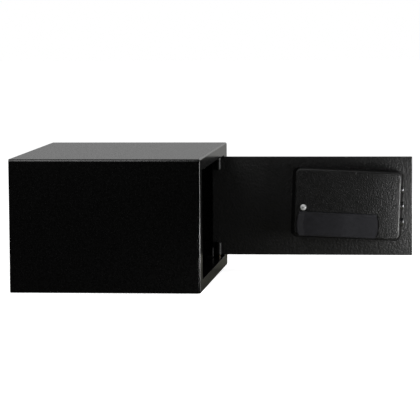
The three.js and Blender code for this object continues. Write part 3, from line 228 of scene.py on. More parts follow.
def stand(flat: np.ndarray, y: float) -> np.ndarray:
    """An outline across x and up z, stood at depth y."""
    return np.stack([flat[:, 0], np.full(len(flat), y), flat[:, 1]], axis=-1)


def slab(outline: Outline, y0: float, y1: float, front: float = 0.0, back: float = 0.0, steps: int = 4) -> Form:
    """A plate of an outline from y0 to y1 with quarter-round edges.

    Args:
        outline: The outline as a function of how far in it is moved.
        y0: The front face.
        y1: The back face.
        front: Radius of the front edge.
        back: Radius of the back edge.
        steps: Chords in each edge.

    Returns:
        The closed shape.
    """
    inset_front, run_front = edge_run(front, steps)
    inset_back, run_back = edge_run(back, steps)
    insets = np.concatenate([inset_front, inset_back[::-1]])
    places = np.concatenate([y0 + run_front, y1 - run_back[::-1]])
    return loft(np.stack([stand(outline(inset), y) for inset, y in zip(insets, places)]))


def framed(outer: Outline, inner: Outline, y0: float, y1: float, edge: float, front: float = 0.0) -> Form:
    """A plate with an opening: one endless run of rings over the outside and back through the hole.

    Args:
        outer: Outline of the plate.
        inner: Outline of the opening, with as many points.
        y0: The front face.
        y1: The back face.
        edge: Radius of the edges.
        front: Radius of the outer front edge, where it is another.

    Returns:
        The closed shape.
    """
    nose, nose_run = edge_run(front or edge, 7)
    inset, run = edge_run(edge, 3)
    outside = [stand(outer(i), y0 + r) for i, r in zip(nose, nose_run)]
    outside += [stand(outer(i), y1 - r) for i, r in zip(inset[::-1], run[::-1])]
    inside = [stand(inner(-i), y1 - r) for i, r in zip(inset, run)]
    inside += [stand(inner(-i), y0 + r) for i, r in zip(inset[::-1], run[::-1])]
    return loft(np.stack(outside + inside), endless=True)


def lathe(profile: Sequence[tuple[float, float]], run: Run, sides: int = 48, endless: bool = False) -> Form:
    """A profile of (radius, place) pairs turned about an axis.

    Point j of a ring stands at radius times the cosine and sine of j steps of the full turn.

    Args:
        profile: The pairs, from one end to the other.
        run: The axis.
        sides: Points round the axis.
        endless: True for a ring with a bore, whose profile closes on itself.

    Returns:
        The closed shape.
    """
    pairs = np.array(profile, dtype=float)
    radius = np.maximum(pairs[:, 0], SMALLEST_RADIUS)
    turn = np.linspace(0, 2 * math.pi, sides, endpoint=False)
    across = radius[:, None] * np.cos(turn)
    up = radius[:, None] * np.sin(turn)
    along = np.broadcast_to(pairs[:, 1, None], across.shape)
    rings = np.stack([across, up, along], axis=-1)[..., list(run.value)]
    return loft(rings, endless)


def rod(radius: float, low: float, high: float, run: Run, sides: int = 48) -> Form:
    """A plain rod between two places on its axis, used to cut holes."""
    return lathe([(radius, low), (radius, high)], run, sides)


def block(x: tuple[float, float], y: tuple[float, float], z: tuple[float, float], edge: float = 0.3) -> Form:
    """A block between three pairs of faces with all its edges rounded."""
    return slab(round_rect(*x, *z, edge, 3), *y, edge, edge, 3)


def read_form(mesh: bpy.types.Mesh) -> Form:
    """A mesh's points and faces, in the mesh's own unit.

    Args:
        mesh: The mesh.

    Returns:
        Its shape.
    """
    flat = np.empty(len(mesh.vertices) * 3)
    mesh.vertices.foreach_get("co", flat)
    return Form(flat.reshape(-1, 3), [tuple(face.vertices) for face in mesh.polygons])


def carve(form: Form, tools: Sequence[Form]) -> Form:
    """Cuts closed shapes out of a closed shape with the exact boolean.

    Args:
        form: The shape to cut.
        tools: The shapes that cut it, one after another.

    Returns:
        The cut shape.
    """
    work = bare_object("work", form)
    cutters = [bare_object(f"tool_{number}", tool) for number, tool in enumerate(tools)]
    for cutter in cutters:
        change = work.modifiers.new("cut", "BOOLEAN")
        change.operation = "DIFFERENCE"
        change.solver = "EXACT"
        change.object = cutter
    graph = bpy.context.evaluated_depsgraph_get()
    mesh = bpy.data.meshes.new_from_object(work.evaluated_get(graph))
    cut = read_form(mesh)
    for item in [work, *cutters]:
        data = item.data
        bpy.data.objects.remove(item)
        bpy.data.meshes.remove(data)
    bpy.data.meshes.remove(mesh)
    return Form(cut.points / MM, cut.faces)


def bare_object(name: str, form: Form) -> bpy.types.Object:
    """A Blender object of a form, in metres, with nothing else done to it.

    Args:
        name: Name of the object.
        form: Its shape, in millimetres.

    Returns:
        The object.
    """
    mesh = bpy.data.meshes.new(name)
    mesh.from_pydata((form.points * MM).tolist(), [], form.faces)
    mesh.update()
    item = bpy.data.objects.new(name, mesh)
    bpy.context.scene.collection.objects.link(item)
    return item


# Finishes


def linear(code: str) -> tuple[float, float, float, float]:
    """An sRGB hex value as linear red, green, blue and one.

    Args:
        code: The hex value, with its # sign.

    Returns:
        The four numbers.
    """
    parts = np.array([int(code[i : i + 2], 16) for i in (1, 3, 5)]) / 255
    light = np.where(parts <= 0.04045, parts / 12.92, ((parts + 0.055) / 1.055) ** 2.4)
    return (*light.tolist(), 1.0)


def add_node(tree: Tree, kind: str, settings: Values | None = None, inputs: Values | None = None) -> Node:
    """Adds one node.

    Args:
        tree: The node tree.
        kind: The node's type.
        settings: Values of its own settings.
        inputs: For each input, by name or number, a value or another node's output.

    Returns:
        The node.
    """
    made = tree.nodes.new(kind)
    for key, value in (settings or {}).items():
        setattr(made, key, value)
    for key, value in (inputs or {}).items():
        if isinstance(value, Socket):
            tree.links.new(value, made.inputs[key])
        else:
            made.inputs[key].default_value = value
    return made


@dataclass(frozen=True)
class Skin:
    """A material in the making: its node tree, its shader, and Object coordinates in metres."""

    tree: Tree
    shader: Node
    place: Socket

    def feed(self, name: str, value: Any) -> None:
        """Links a node's output to a socket of the shader, or sets the socket itself to a constant.

        Args:
            name: Name of the shader's socket.
            value: The output or the constant.
        """
        if isinstance(value, Socket):
            self.tree.links.new(value, self.shader.inputs[name])
        else:
            self.shader.inputs[name].default_value = value

    def noise(self, size: float, detail: float = 2.0, place: Socket | None = None) -> Socket:
        """A noise whose features are about `size` millimetres across."""
        inputs = {"Vector": place or self.place, "Scale": 1 / (size * MM), "Detail": detail, "Roughness": 0.55}
        return add_node(self.tree, "ShaderNodeTexNoise", inputs=inputs).outputs["Fac"]

    def drawn_out(self, scale: tuple[float, float, float]) -> Socket:
        """The coordinates scaled along each axis, which draws a noise out where the factor is small."""
        inputs = {"Vector": self.place, "Scale": scale}
        return add_node(self.tree, "ShaderNodeMapping", inputs=inputs).outputs[0]

    def spread(self, value: Socket, low: float, high: float) -> Socket:
        """A noise value, which keeps near the middle, spread from low to high."""
        inputs = {"Value": value, "From Min": 0.32, "From Max": 0.68, "To Min": low, "To Max": high}
        return add_node(self.tree, RANGE, inputs=inputs).outputs["Result"]

    def relief(self, height: Socket, depth: float) -> None:
        """Gives the shader a bump of `depth` millimetres from a height value."""
        inputs = {"Strength": 1.0, "Distance": depth * MM, "Height": height}
        self.feed("Normal", add_node(self.tree, "ShaderNodeBump", inputs=inputs).outputs["Normal"])


@dataclass(frozen=True)
class Finish:
    """What every finish has: a name, two shades that its pattern mixes, and a roughness range."""

    name: str
    dark: str
    light: str
    smooth: float
    rough: float

    def build(self) -> bpy.types.Material:
        """The material, made once and found again by its name.

        Returns:
            The material.
        """
        known = bpy.data.materials.get(self.name)
        if known:
            return known
        material = bpy.data.materials.new(self.name)
        material.use_nodes = True
        tree = material.node_tree
        place = add_node(tree, "ShaderNodeTexCoord").outputs["Object"]
        self.pattern(Skin(tree, tree.nodes["Principled BSDF"], place))
        return material

    def pattern(self, skin: Skin) -> None:
        """Each finish draws its own pattern here."""
        raise NotImplementedError

    def shades(self, skin: Skin, value: Socket) -> Socket:
        """The two shades mixed by a value from 0 to 1."""
        inputs = {0: value, 6: linear(self.dark), 7: linear(self.light)}
        return add_node(skin.tree, MIX, COLOURS, inputs).outputs[2]

    def paint(self, skin: Skin, shade: Socket, gloss: Socket) -> None:
        """Sets the colour by one noise value and the roughness by another."""
        skin.feed("Base Color", self.shades(skin, skin.spread(shade, 0.0, 1.0)))
        skin.feed("Roughness", skin.spread(gloss, self.smooth, self.rough))


@dataclass(frozen=True)
class PowderCoat(Finish):
    """Polyester powder coat baked on sheet steel: black, with a pebbled skin that dulls the gloss."""

    grain: float = 4.0
    depth: float = 0.35
    ior: float = 1.36

    def pattern(self, skin: Skin) -> None:
        """Pebbles of the grain's size, which set the shade, the gloss and the relief.

        Args:
            skin: The material in the making.
        """
        pebbles = skin.noise(self.grain, 3.0)
        self.paint(skin, pebbles, pebbles)
        skin.feed("IOR", self.ior)
        skin.relief(pebbles, self.depth)


@dataclass(frozen=True)
class MouldedPlastic(Finish):
    """A plastic or rubber moulding: its skin is the mould's, spark-eroded to a fine grain or left smooth.

    The fall is in millimetres, and the two places along y that it runs between are in metres.
    """

    grain: float = 1.6
    depth: float = 0.08
    ior: float = 1.45
    fall: float = 0.0
    fall_from: float = -0.3885
    fall_to: float = -0.4715

    def pattern(self, skin: Skin) -> None:
        """A grain of the given size over a fainter cloud of shade.

        Args:
            skin: The material in the making.
        """
        cells = skin.noise(self.grain, 2.0)
        cloud = skin.noise(self.grain * 2.5, 3.0)
        self.paint(skin, cloud, cloud)
        skin.feed("IOR", self.ior)
        height = add_node(skin.tree, MATH, TIMES, {0: cells, 1: self.depth}).outputs[0]
        if self.fall:
            height = self.warped(skin, height)
        skin.relief(height, 1.0)

    def warped(self, skin: Skin, height: Socket) -> Socket:
        """The height less the fall by the cube of the way along y, as a moulding warps that cooled unevenly.

        Args:
            skin: The material in the making.
            height: The height of the grain, in millimetres.

        Returns:
            The height with the warp in it.
        """
        along = add_node(skin.tree, "ShaderNodeSeparateXYZ", inputs={0: skin.place}).outputs["Y"]
        inputs = {"Value": along, "From Min": self.fall_from, "From Max": self.fall_to}
        share = add_node(skin.tree, RANGE, inputs=inputs).outputs["Result"]
        cube = add_node(skin.tree, MATH, {"operation": "POWER"}, {0: share, 1: 3.0}).outputs[0]
        return add_node(skin.tree, MATH, TIMES_PLUS, {0: cube, 1: -self.fall, 2: height}).outputs[0]


@dataclass(frozen=True)
class PlatedMetal(Finish):
    """Plated steel or turned brass: bare metal gloss, with the fine marks that drawing or turning leaves."""

    mark: float = 0.5
    depth: float = 0.004
    stain: float = 9.0

    def pattern(self, skin: Skin) -> None:
        """Fine marks that break up the gloss, over a stain some millimetres across.

        Args:
            skin: The material in the making.
        """
        marks = skin.noise(self.mark, 2.0)
        self.paint(skin, skin.noise(self.stain, 2.0), marks)
        skin.feed("Metallic", 1.0)
        skin.relief(marks, self.depth)


@dataclass(frozen=True)
class NeedleFelt(Finish):
    """Needle-punched polyester felt: matt, with short fibres that lie every way."""

    fibre: float = 4.2
    ways: tuple[tuple[float, float, float], ...] = ((1.0, 5.0, 1.0), (5.0, 1.0, 1.0))

    def pattern(self, skin: Skin) -> None:
        """Two fibre noises drawn out across each other, the higher of them on top.

        Args:
            skin: The material in the making.
        """
        first, second = [skin.noise(self.fibre, 3.0, skin.drawn_out(way)) for way in self.ways]
        top = add_node(skin.tree, MATH, HIGHER, {0: first, 1: second}).outputs[0]
        self.paint(skin, top, top)
        skin.feed("Sheen Weight", 0.25)
        skin.relief(top, 0.5)


@dataclass(frozen=True)
class CircuitBoard(Finish):
    """Glass-fibre board under green solder mask, with the copper tracks standing a little proud."""

    pitch: float = 2.54

    def pattern(self, skin: Skin) -> None:
        """Square cells at the pitch of the pads, some of them lighter where a track runs.

        Args:
            skin: The material in the making.
        """
        inputs = {"Vector": skin.place, "Scale": 1 / (self.pitch * MM), "Randomness": 0.35}
        cells = add_node(skin.tree, "ShaderNodeTexVoronoi", {"distance": "CHEBYCHEV"}, inputs).outputs["Distance"]
        self.paint(skin, cells, cells)
        skin.relief(cells, 0.05)


@dataclass(frozen=True)
class RibbonCable(Finish):
    """Flat ribbon cable: grey PVC with a groove between the wires."""

    pitch: float = 1.27

    def pattern(self, skin: Skin) -> None:
        """Bands up the height at the pitch of the wires, smoothest on top of each wire.

        Args:
            skin: The material in the making.
        """
        inputs = {"Vector": skin.place, "Scale": math.pi / 10 / (self.pitch * MM)}
        waves = add_node(skin.tree, "ShaderNodeTexWave", {"bands_direction": "Z"}, inputs).outputs["Fac"]
        skin.feed("Base Color", self.shades(skin, waves))
        skin.feed("Roughness", skin.spread(waves, self.rough, self.smooth))
        skin.relief(waves, 0.3)


@dataclass(frozen=True)
class SmokedWindow(Finish):
    """Cast acrylic, smoked dark red: a gloss skin over a nearly black body."""

    def pattern(self, skin: Skin) -> None:
        """A faint cloud under a clear coat.

        Args:
            skin: The material in the making.
        """
        cloud = skin.noise(14.0, 2.0)
        self.paint(skin, cloud, cloud)
        skin.feed("IOR", 1.49)
        skin.feed("Coat Weight", 0.6)
        skin.feed("Coat Roughness", 0.04)


# Black polyester powder coat: reads as a near-black, softly pebbled skin that greys only at a glancing angle.
# Its pebbles are really about half a millimetre, and in all four coats they are drawn coarser so that they show.
COAT = PowderCoat("powder_coated_steel", "#030303", "#060606", 0.24, 0.34, grain=3.2, depth=0.16)
# The same coat on the front, which flowed out smoother and glossier on the flat plate
COAT_FRONT = PowderCoat(
    "powder_coated_front_steel", "#030303", "#060606", 0.17, 0.23, grain=2.2, depth=0.015, ior=1.35
)
# The same coat on the door, thicker and more textured: its bumps catch the light as grey specks
COAT_DOOR = PowderCoat("powder_coated_door_steel", "#080808", "#0e0e0e", 0.37, 0.46, grain=3.6, depth=1.0, ior=1.5)
# The same coat on small hinge parts, where the powder lies thinner
COAT_SMALL = PowderCoat(
    "powder_coated_hinge_steel", "#050505", "#0a0a09", 0.36, 0.46, grain=2.0, depth=0.05, ior=1.32
)
# Spark-eroded ABS: black with a dry, grained gloss. The real grain of a tenth of a millimetre is drawn coarser.
ABS_GRAINED = MouldedPlastic(
    "moulded_grained_abs", "#030303", "#070707", 0.36, 0.42, grain=2.2, depth=0.9, ior=1.44, fall=2.4
)
# ABS from a polished mould: smoother, and a little blue against the grained cover
ABS_SMOOTH = MouldedPlastic("moulded_smooth_abs", "#0f0f12", "#151519", 0.37, 0.42, grain=1.8, depth=0.05, ior=1.5)
# Grey ABS key tops, matt from the mould
ABS_KEY = MouldedPlastic("moulded_key_abs", "#7d8084", "#8f9296", 0.38, 0.5, grain=0.9, depth=0.02, ior=1.45)
# Pad-printed ink of the key numbers: a dry, dark film
KEY_INK = MouldedPlastic("printed_key_ink", "#0f1012", "#1a1b1e", 0.45, 0.6, grain=0.7, depth=0.005)
# Satin nickel plate over steel: bright, with soft-edged reflections
NICKEL = PlatedMetal("nickel_plated_steel", "#e4e5e5", "#f0f0f0", 0.55, 0.62)
# Black nickel over steel: a darker, satin metal for the bolts
BLACK_NICKEL = PlatedMetal("black_nickel_plated_steel", "#666668", "#7a7a7c", 0.2, 0.3)
# Blue-white zinc plate on pressed steel, cloudy and a little dull
ZINC = PlatedMetal("zinc_plated_steel", "#8f9397", "#b3b6b8", 0.24, 0.42, mark=0.9)
# Free-cutting brass, turned: yellow, with a gloss that the tool's marks break up
BRASS = PlatedMetal("turned_brass", "#a8873f", "#c6a55c", 0.18, 0.32, mark=0.4)
# The same brass chemically blackened, as hinge washers are so that they vanish against the coat
BLACKENED_BRASS = PlatedMetal("blackened_brass", "#1c1712", "#2a231a", 0.3, 0.42, mark=0.4)
# Needle felt of the floor mat: matt and dark. Fibres finer than a hair are drawn as thick tufts.
FELT = NeedleFelt("needle_felt", "#17171a", "#2b2b30", 0.85, 0.98)
# Closed-cell foam rubber of the strip under the cover, near-black and dead matt: it paints the cover's shadow on the
# door as a dark line
SHADOW_STRIP = MouldedPlastic("foam_strip_painted_shadow", "#020202", "#050505", 0.85, 0.95, grain=1.5, depth=0.3, ior=1.3)
# Moulded rubber of the plugs and the key mat: dull black
RUBBER = MouldedPlastic("moulded_rubber", "#141414", "#1f1f1f", 0.7, 0.88, grain=1.2, depth=0.05, ior=1.5)
# Natural polyamide of the pinion: milky, with a waxy gloss
NYLON = MouldedPlastic("moulded_polyamide", "#cfccbf", "#dedbd0", 0.4, 0.55, grain=0.8, depth=0.02, ior=1.5)
# Shrink-wrapped jacket of the dry cells: tight and glossy
JACKET = MouldedPlastic("cell_jacket_film", "#2f3439", "#3c4248", 0.2, 0.32, grain=2.5, depth=0.01, ior=1.5)
# Green solder mask over the tracks
BOARD = CircuitBoard("green_circuit_board", "#17492c", "#246a41", 0.3, 0.45)
# Grey PVC, ribbed by its wires
CABLE = RibbonCable("ribbon_cable_pvc", "#7f8386", "#a6aaad", 0.4, 0.55)
# Smoked acrylic over the display: almost black, with a clear gloss
WINDOW = SmokedWindow("smoked_acrylic", "#120507", "#21090c", 0.06, 0.12)


# Light


@dataclass(frozen=True)
class Softbox:
    """A rectangular lamp, in metres: its middle, what it faces, its size, watts, lit angle and if gloss shows it."""

    name: str
    place: tuple[float, float, float]
    target: tuple[float, float, float]
    size: tuple[float, float]
    power: float
    spread: float = 180.0
    mirrored: bool = True


# The first lights the top, and each of the others one run of highlights: bend, near corner, cover end, front plate
SOFTBOXES = (
    Softbox("softbox_above", (0.9, -0.3, 1.6), (0.1, -0.2, 0.1), (1.6, 1.6), 17.0, 180.0, False),
    Softbox("softbox_bend", (-0.5, 0.16, 0.64), (-0.22, 0.04, 0.21), (0.42, 0.32), 0.85, 90.0),
    Softbox("softbox_corner", (-0.256, -0.42, 0.048), (-0.218, -0.158, 0.018), (0.05, 0.09), 0.13, 40.0),
    Softbox("softbox_door", (-0.05, -0.64, 0.07), (0.18, -0.45, 0.1), (0.12, 0.12), 1.25),
    Softbox("softbox_front", (0.0, -1.0, 0.12), (0.1, -0.2, 0.11), (0.4, 0.2), 4.2),
)
# Strengths of the white world: as seen, as fill light, and as gloss mirrors it towards the camera, behind the safe
# and beside it. FLOOR_SHOWN is the floor's own glow where it is seen.
WORLD_SHOWN = 1.0
WORLD_FILL = 0.4
WORLD_AHEAD = 0.03
WORLD_BEHIND = 0.55
WORLD_BESIDE = 0.6
FLOOR_SHOWN = 0.72
# Colours of the floor: as seen, and as gloss mirrors it in front of the side that the camera sees and behind it, which
# is painted shade in front and painted light behind
FLOOR_SEEN = "#e6e6e6"
FLOOR_SHADE_FRONT = "#343432"
FLOOR_LIGHT_BEHIND = "#66655c"

# Placing pieces

TILT = math.radians(2.4)
# Millimetres: the hinge's axis on the ground, and on the door, before it opens, the lock's axis and the cover's middle
PIVOT = (155.5, -148.5)
LOCK_AXIS = (-229.5, 150.05)
COVER_MIDDLE = (-230.0, -4.0, 117.65)
DOOR_PLACE = np.array([[0, -1, 0, PIVOT[0]], [1, 0, 0, PIVOT[1]], [0, 0, 1, 0], [0, 0, 0, 1]], dtype=float)


def turned(angle: float, middle: tuple[float, float, float] = (0.0, 0.0, 0.0)) -> np.ndarray:
    """A placement that turns about y, from x towards z, and then moves to a middle."""
    cos, sin = math.cos(angle), math.sin(angle)
    return np.array([[cos, 0, -sin, middle[0]], [0, 1, 0, middle[1]], [sin, 0, cos, middle[2]], [0, 0, 0, 1]])


ASKEW_PLACE = DOOR_PLACE @ turned(TILT, COVER_MIDDLE)


def node_box(node: str) -> np.ndarray:
    """A CAD node's lowest and highest corner in millimetres, as two rows."""
    return np.array([list(corner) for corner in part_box(node)]) / MM


def put(
    name: str,
    form: Form,
    finish: Finish,
    body: str,
    stands_for: Sequence[str] = (),
    crease: float = 32.0,
) -> bpy.types.Object:
    """Makes a finished piece of a form and hands it to the frame.

    Args:
        name: Name of the piece.
        form: The placed form.
        finish: Its finish.
        body: Name of the body that it rides on.
        stands_for: CAD nodes that it replaces.
        crease: Angle above which an edge stays sharp, in degrees.

    Returns:
        The object.
    """
    item = bare_object(name, form)
    item.data.polygons.foreach_set("use_smooth", np.ones(len(item.data.polygons), dtype=bool))
    item.data.set_sharp_from_angle(angle=math.radians(crease))
    item.data.materials.append(finish.build())
    weigh = item.modifiers.new("even_faces", "WEIGHTED_NORMAL")
    weigh.keep_sharp = True
    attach(item, body)
    if stands_for:
        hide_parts(*stands_for)
    LOG.info("%s: %d faces on %s", name, len(item.data.polygons), body)
    return item


def dress(finish: Finish, *nodes: str) -> None:
    """Gives CAD nodes a finish in the slots that they have.

    Args:
        finish: The finish.
        nodes: Names of the nodes.
    """
    material = finish.build()
    for name in nodes:
        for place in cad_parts[name].material_slots:
            place.material = material
        LOG.info("%s dressed in %s", name, finish.name)


# Sub-assemblies


@dataclass(frozen=True)
class SteelBody:
    """The box of the safe: bent shell, back, front frame with its flanges, mat and plugs."""

    width: float = 440.0
    depth: float = 315.0
    height: float = 220.0
    sheet: float = 2.5
    bend: float = 4.7
    cut_edge: float = 0.4
    seam: float = 0.3
    frame_sheet: float = 3.0
    frame_edge: float = 2.4
    lock_strip: float = 30.0
    hinge_strip: float = 50.0
    top_strip: float = 20.0
    bottom_strip: float = 20.0
    opening_corner: float = 1.0
    flange_sheet: float = 2.0
    flange_root: float = 1.5
    flange_depth: float = 26.0
    lip_depth: float = 8.0
    pin_bore: float = 2.8
    pin_clear: float = 10.0
    back_edges: tuple[float, float] = (0.3, 0.5)
    anchor_radius: float = 5.0
    anchor_x: tuple[float, float] = (-120.0, 120.0)
    mat_grid: tuple[int, int] = (61, 45)
    mat_rim: float = 1.2
    mat_cut: tuple[float, float] = (0.55, 0.45)
    mat_waves: tuple[float, float, float] = (0.12, 19.0, 14.0)
    mat_slack: float = 0.15
    plug_head: float = 8.0
    plug_tall: float = 1.6
    plug_stem: float = 4.7

    def build(self) -> None:
        """Makes all the pieces of the box."""
        self.add_shell()
        self.add_front()
        self.add_back()
        self.add_mat()
        self.add_plugs()

    def rect(self, inset: float, radius: float) -> Outline:
        """The outline of the box seen from the front, moved in."""
        half = self.width / 2 - inset
        return round_rect(-half, half, inset, self.height - inset, radius, 16)

    def add_shell(self) -> None:
        """A sheet bent round the four long edges, as one endless tube, with two floor holes."""
        front = -self.depth / 2 + self.frame_sheet + self.seam
        inner = self.rect(self.sheet, self.bend - self.sheet)
        tube = framed(self.rect(0, self.bend), inner, front, self.depth / 2, self.cut_edge)
        holes = [rod(self.anchor_radius, -5, self.sheet + 5, Run.ALONG_Z).moved(x) for x in self.anchor_x]
        put("steel_shell", carve(tube, holes), COAT, "body", ["body_shell"])

    def add_front(self) -> None:
        """The front plate with its opening, and the flanges behind the opening's edges."""
        front = -self.depth / 2
        back = front + self.frame_sheet
        left = -self.width / 2 + self.lock_strip
        right = self.width / 2 - self.hinge_strip
        low = self.bottom_strip
        high = self.height - self.top_strip
        opening = round_rect(left, right, low, high, self.opening_corner, 16)
        plate = framed(self.rect(0, self.bend), opening, front, back, self.cut_edge, self.frame_edge)
        thick = self.flange_sheet
        root = back - self.flange_root
        deep = (root, back + self.flange_depth)
        flanges = [
            block((left - thick, right), deep, (high, high + thick)),
            block((left - thick, right), deep, (low - thick, low)),
            block((left - thick, left), (root, back + self.lip_depth), (low - thick, high + thick)),
        ]
        pin = rod(self.pin_bore, self.pin_clear, self.height - self.pin_clear, Run.ALONG_Z).moved(*PIVOT)
        form = plate.joined(*[carve(flange, [pin]) for flange in flanges])
        put("steel_front", form, COAT_FRONT, "body", ["front_frame"])

    def add_back(self) -> None:
        """The back plate, set into the shell, with its two anchor holes."""
        inset = self.sheet + self.seam
        back = self.depth / 2
        plate = slab(self.rect(inset, self.bend - self.sheet), back - self.sheet, back, *self.back_edges)
        holes = [rod(self.anchor_radius, back - 10, back + 10, Run.ALONG_Y).moved(x, 0, self.height / 2)
                 for x in self.anchor_x]
        put("steel_back", carve(plate, holes), COAT, "body", ["back_panel"])

    def add_mat(self) -> None:
        """The felt mat: a grid that swells by 1 - exp(-distance from the rim) and ripples by a sine each way."""
        (x0, y0, z0), (x1, y1, z1) = node_box("floor_mat")
        across, deep = np.meshgrid(*(np.linspace(0, 1, count) for count in self.mat_grid))
        rim = np.minimum(np.minimum(across, 1 - across) * (x1 - x0), np.minimum(deep, 1 - deep) * (y1 - y0))
        swell = 1 - np.exp(-rim / self.mat_rim)
        height, along_x, along_y = self.mat_waves
        ripple = height * np.sin(across * along_x) * np.sin(deep * along_y)
        cut, gain = self.mat_cut
        top = z0 + (z1 - z0 - self.mat_slack) * (cut + gain * swell) + ripple * swell
        x = x0 + across * (x1 - x0)
        y = y0 + deep * (y1 - y0)
        face = np.stack([x, y, np.minimum(top, z1)], axis=-1)
        back = np.stack([x, y, np.full(x.shape, z0)], axis=-1)
        mat = put("felt_mat", pillow(face, back), FELT, "body", ["floor_mat"], 60)

    def add_plugs(self) -> None:
        """Two push-in plugs with domed heads inside the back."""
        back = self.depth / 2
        seat = back - self.sheet - self.seam
        turn = np.linspace(0, 1, 7)[1:] * math.pi / 2
        dome = [(self.plug_head * math.sin(t) ** 0.8, seat - self.plug_tall * math.cos(t)) for t in turn]
        stem = [(self.plug_stem, seat), (self.plug_stem, back - 0.3), (self.plug_stem - 0.3, back)]
        for number, x in enumerate(self.anchor_x, 1):
            profile = [(0.1, seat - self.plug_tall), *dome, *stem]
            form = lathe(profile, Run.ALONG_Y, 40).moved(x, 0, self.height / 2)
            put(f"anchor_plug_head_{number}", form, RUBBER, "body", [f"anchor_plug_{3 - number}"])


@dataclass(frozen=True)
class Hinges:
    """Pins, washers and knuckles at the top and the bottom of the door, and the stop beside them."""

    pin: float = 2.5
    pin_point: float = 0.5
    pin_head: float = 4.5
    head_tall: float = 2.0
    head_rim: float = 0.8
    bore: float = 2.8
    chamfer: float = 0.3
    washer: float = 3.7
    knuckle: float = 5.0
    knuckle_foot: float = -3.7
    knuckle_ends: tuple[float, float] = (3.4, 0.7)
    upper_tail: float = 6.5
    lower_tail: float = 2.0
    stop_sheet: float = 2.5
    stop_corner: float = 2.0
    stop_edge: float = 1.2
    stop_foot: float = 0.8

    def build(self) -> None:
        """Makes the hinge pieces from the boxes of their CAD nodes."""
        for place in ("upper", "lower"):
            self.add_pin(place)
            self.add_washer(place)
            self.add_knuckle(place)
        self.add_stop()
        dress(COAT_SMALL, "hinge_lug_upper", "hinge_lug_lower")

    def add_pin(self, place: str) -> None:
        """A pin with a domed head: the head is on the end away from the door.

        Args:
            place: Upper or lower.
        """
        low, high = node_box(f"hinge_pin_{place}")[:, 2]
        sign = 1 if place == "upper" else -1
        tip, end = (low, high) if sign > 0 else (high, low)
        neck = end - sign * self.head_tall
        rise = self.head_tall - self.head_rim
        turn = np.linspace(0, math.pi / 2, 6)
        profile = [(self.pin - self.pin_point, tip), (self.pin, tip + sign * self.pin_point), (self.pin, neck),
                   (self.pin_head - self.chamfer, neck), (self.pin_head, neck + sign * self.chamfer)]
        profile += [(self.pin_head * math.cos(t), neck + sign * (self.head_rim + rise * math.sin(t))) for t in turn]
        form = lathe(profile, Run.ALONG_Z, 40).moved(*PIVOT)
        put(f"pin_{place}", form, ZINC, "body", [f"hinge_pin_{place}"])

    def add_washer(self, place: str) -> None:
        """A turned washer with small chamfers.

        Args:
            place: Upper or lower.
        """
        low, high = node_box(f"thrust_washer_{place}")[:, 2]
        cut = self.chamfer
        profile = [(self.washer - cut, low), (self.washer, low + cut), (self.washer, high - cut),
                   (self.washer - cut, high), (self.bore, high), (self.bore, low)]
        form = lathe(profile, Run.ALONG_Z, 40, endless=True).moved(*PIVOT)
        put(f"washer_{place}", form, BLACKENED_BRASS, "body", [f"thrust_washer_{place}"])

    def add_knuckle(self, place: str) -> None:
        """A D-shaped knuckle welded to the door: half a circle towards the safe and a flat foot on the door.

        Args:
            place: Upper or lower.
        """
        low, high = node_box(f"hinge_knuckle_{place}")[:, 2]
        turn = np.linspace(0, math.pi, 25)

        def outline(inset: float) -> np.ndarray:
            """The knuckle's D, moved in by a distance.

            Args:
                inset: The distance.

            Returns:
                Points across and up.
            """
            radius = self.knuckle - inset
            arc = np.stack([radius * np.cos(turn), radius * np.sin(turn)], axis=-1)
            foot = self.knuckle_foot + inset
            return np.vstack([arc, np.array([[-radius, foot], [radius, foot]])])

        if place == "upper":
            low, ends = low - self.upper_tail, self.knuckle_ends
        else:
            high, ends = high + self.lower_tail, self.knuckle_ends[::-1]
        upright = slab(outline, low, high, *ends, 6)
        lying = Form(upright.points[:, [0, 2, 1]], upright.faces).facing_out()
        bored = carve(lying, [rod(self.bore, low - 5, high + 5, Run.ALONG_Z)])
        put(f"knuckle_{place}", bored.placed(DOOR_PLACE), COAT_SMALL, "door", [f"hinge_knuckle_{place}"])

    def add_stop(self) -> None:
        """The stop: an upright with soft edges on a short foot."""
        (x0, y0, z0), (x1, y1, z1) = node_box("door_stop")
        outline = round_rect(x0, x1, z0, z1, self.stop_corner, 6)
        upright = slab(outline, y0, y0 + self.stop_sheet, self.stop_edge, self.stop_edge, 6)
        foot = block((x0, x1), (y0 + self.stop_foot, y1), (z0, z0 + self.stop_sheet), self.stop_foot)
        put("stop_bracket", upright.joined(foot), COAT_SMALL, "body", ["door_stop"])


@dataclass(frozen=True)
class Door:
    """The door plate, standing open."""

    faces: tuple[float, float] = (-9.0, -4.0)
    corner: float = 1.5
    edge: float = 0.7
    cylinder: float = 9.3
    slot_x: tuple[float, float] = (-193.0, -187.0)
    slot_z: tuple[float, float] = (102.9, 119.4)
    slot_edge: float = 0.8
    through: tuple[float, float] = (-20.0, 10.0)

    def build(self) -> None:
        """A plate with rounded edges, bored for the override lock and slotted for the cable."""
        (_, x0, z0), (_, x1, z1) = node_box("door_panel") - [0, PIVOT[1], 0]
        plate = slab(round_rect(x0, x1, z0, z1, self.corner, 6), *self.faces, self.edge, self.edge)
        bore = rod(self.cylinder, *self.through, Run.ALONG_Y).moved(LOCK_AXIS[0], 0, LOCK_AXIS[1])
        slot = block(self.slot_x, self.through, self.slot_z, self.slot_edge)
        put("door_plate", carve(plate, [bore, slot]).placed(DOOR_PLACE), COAT_DOOR, "door", ["door_panel"])


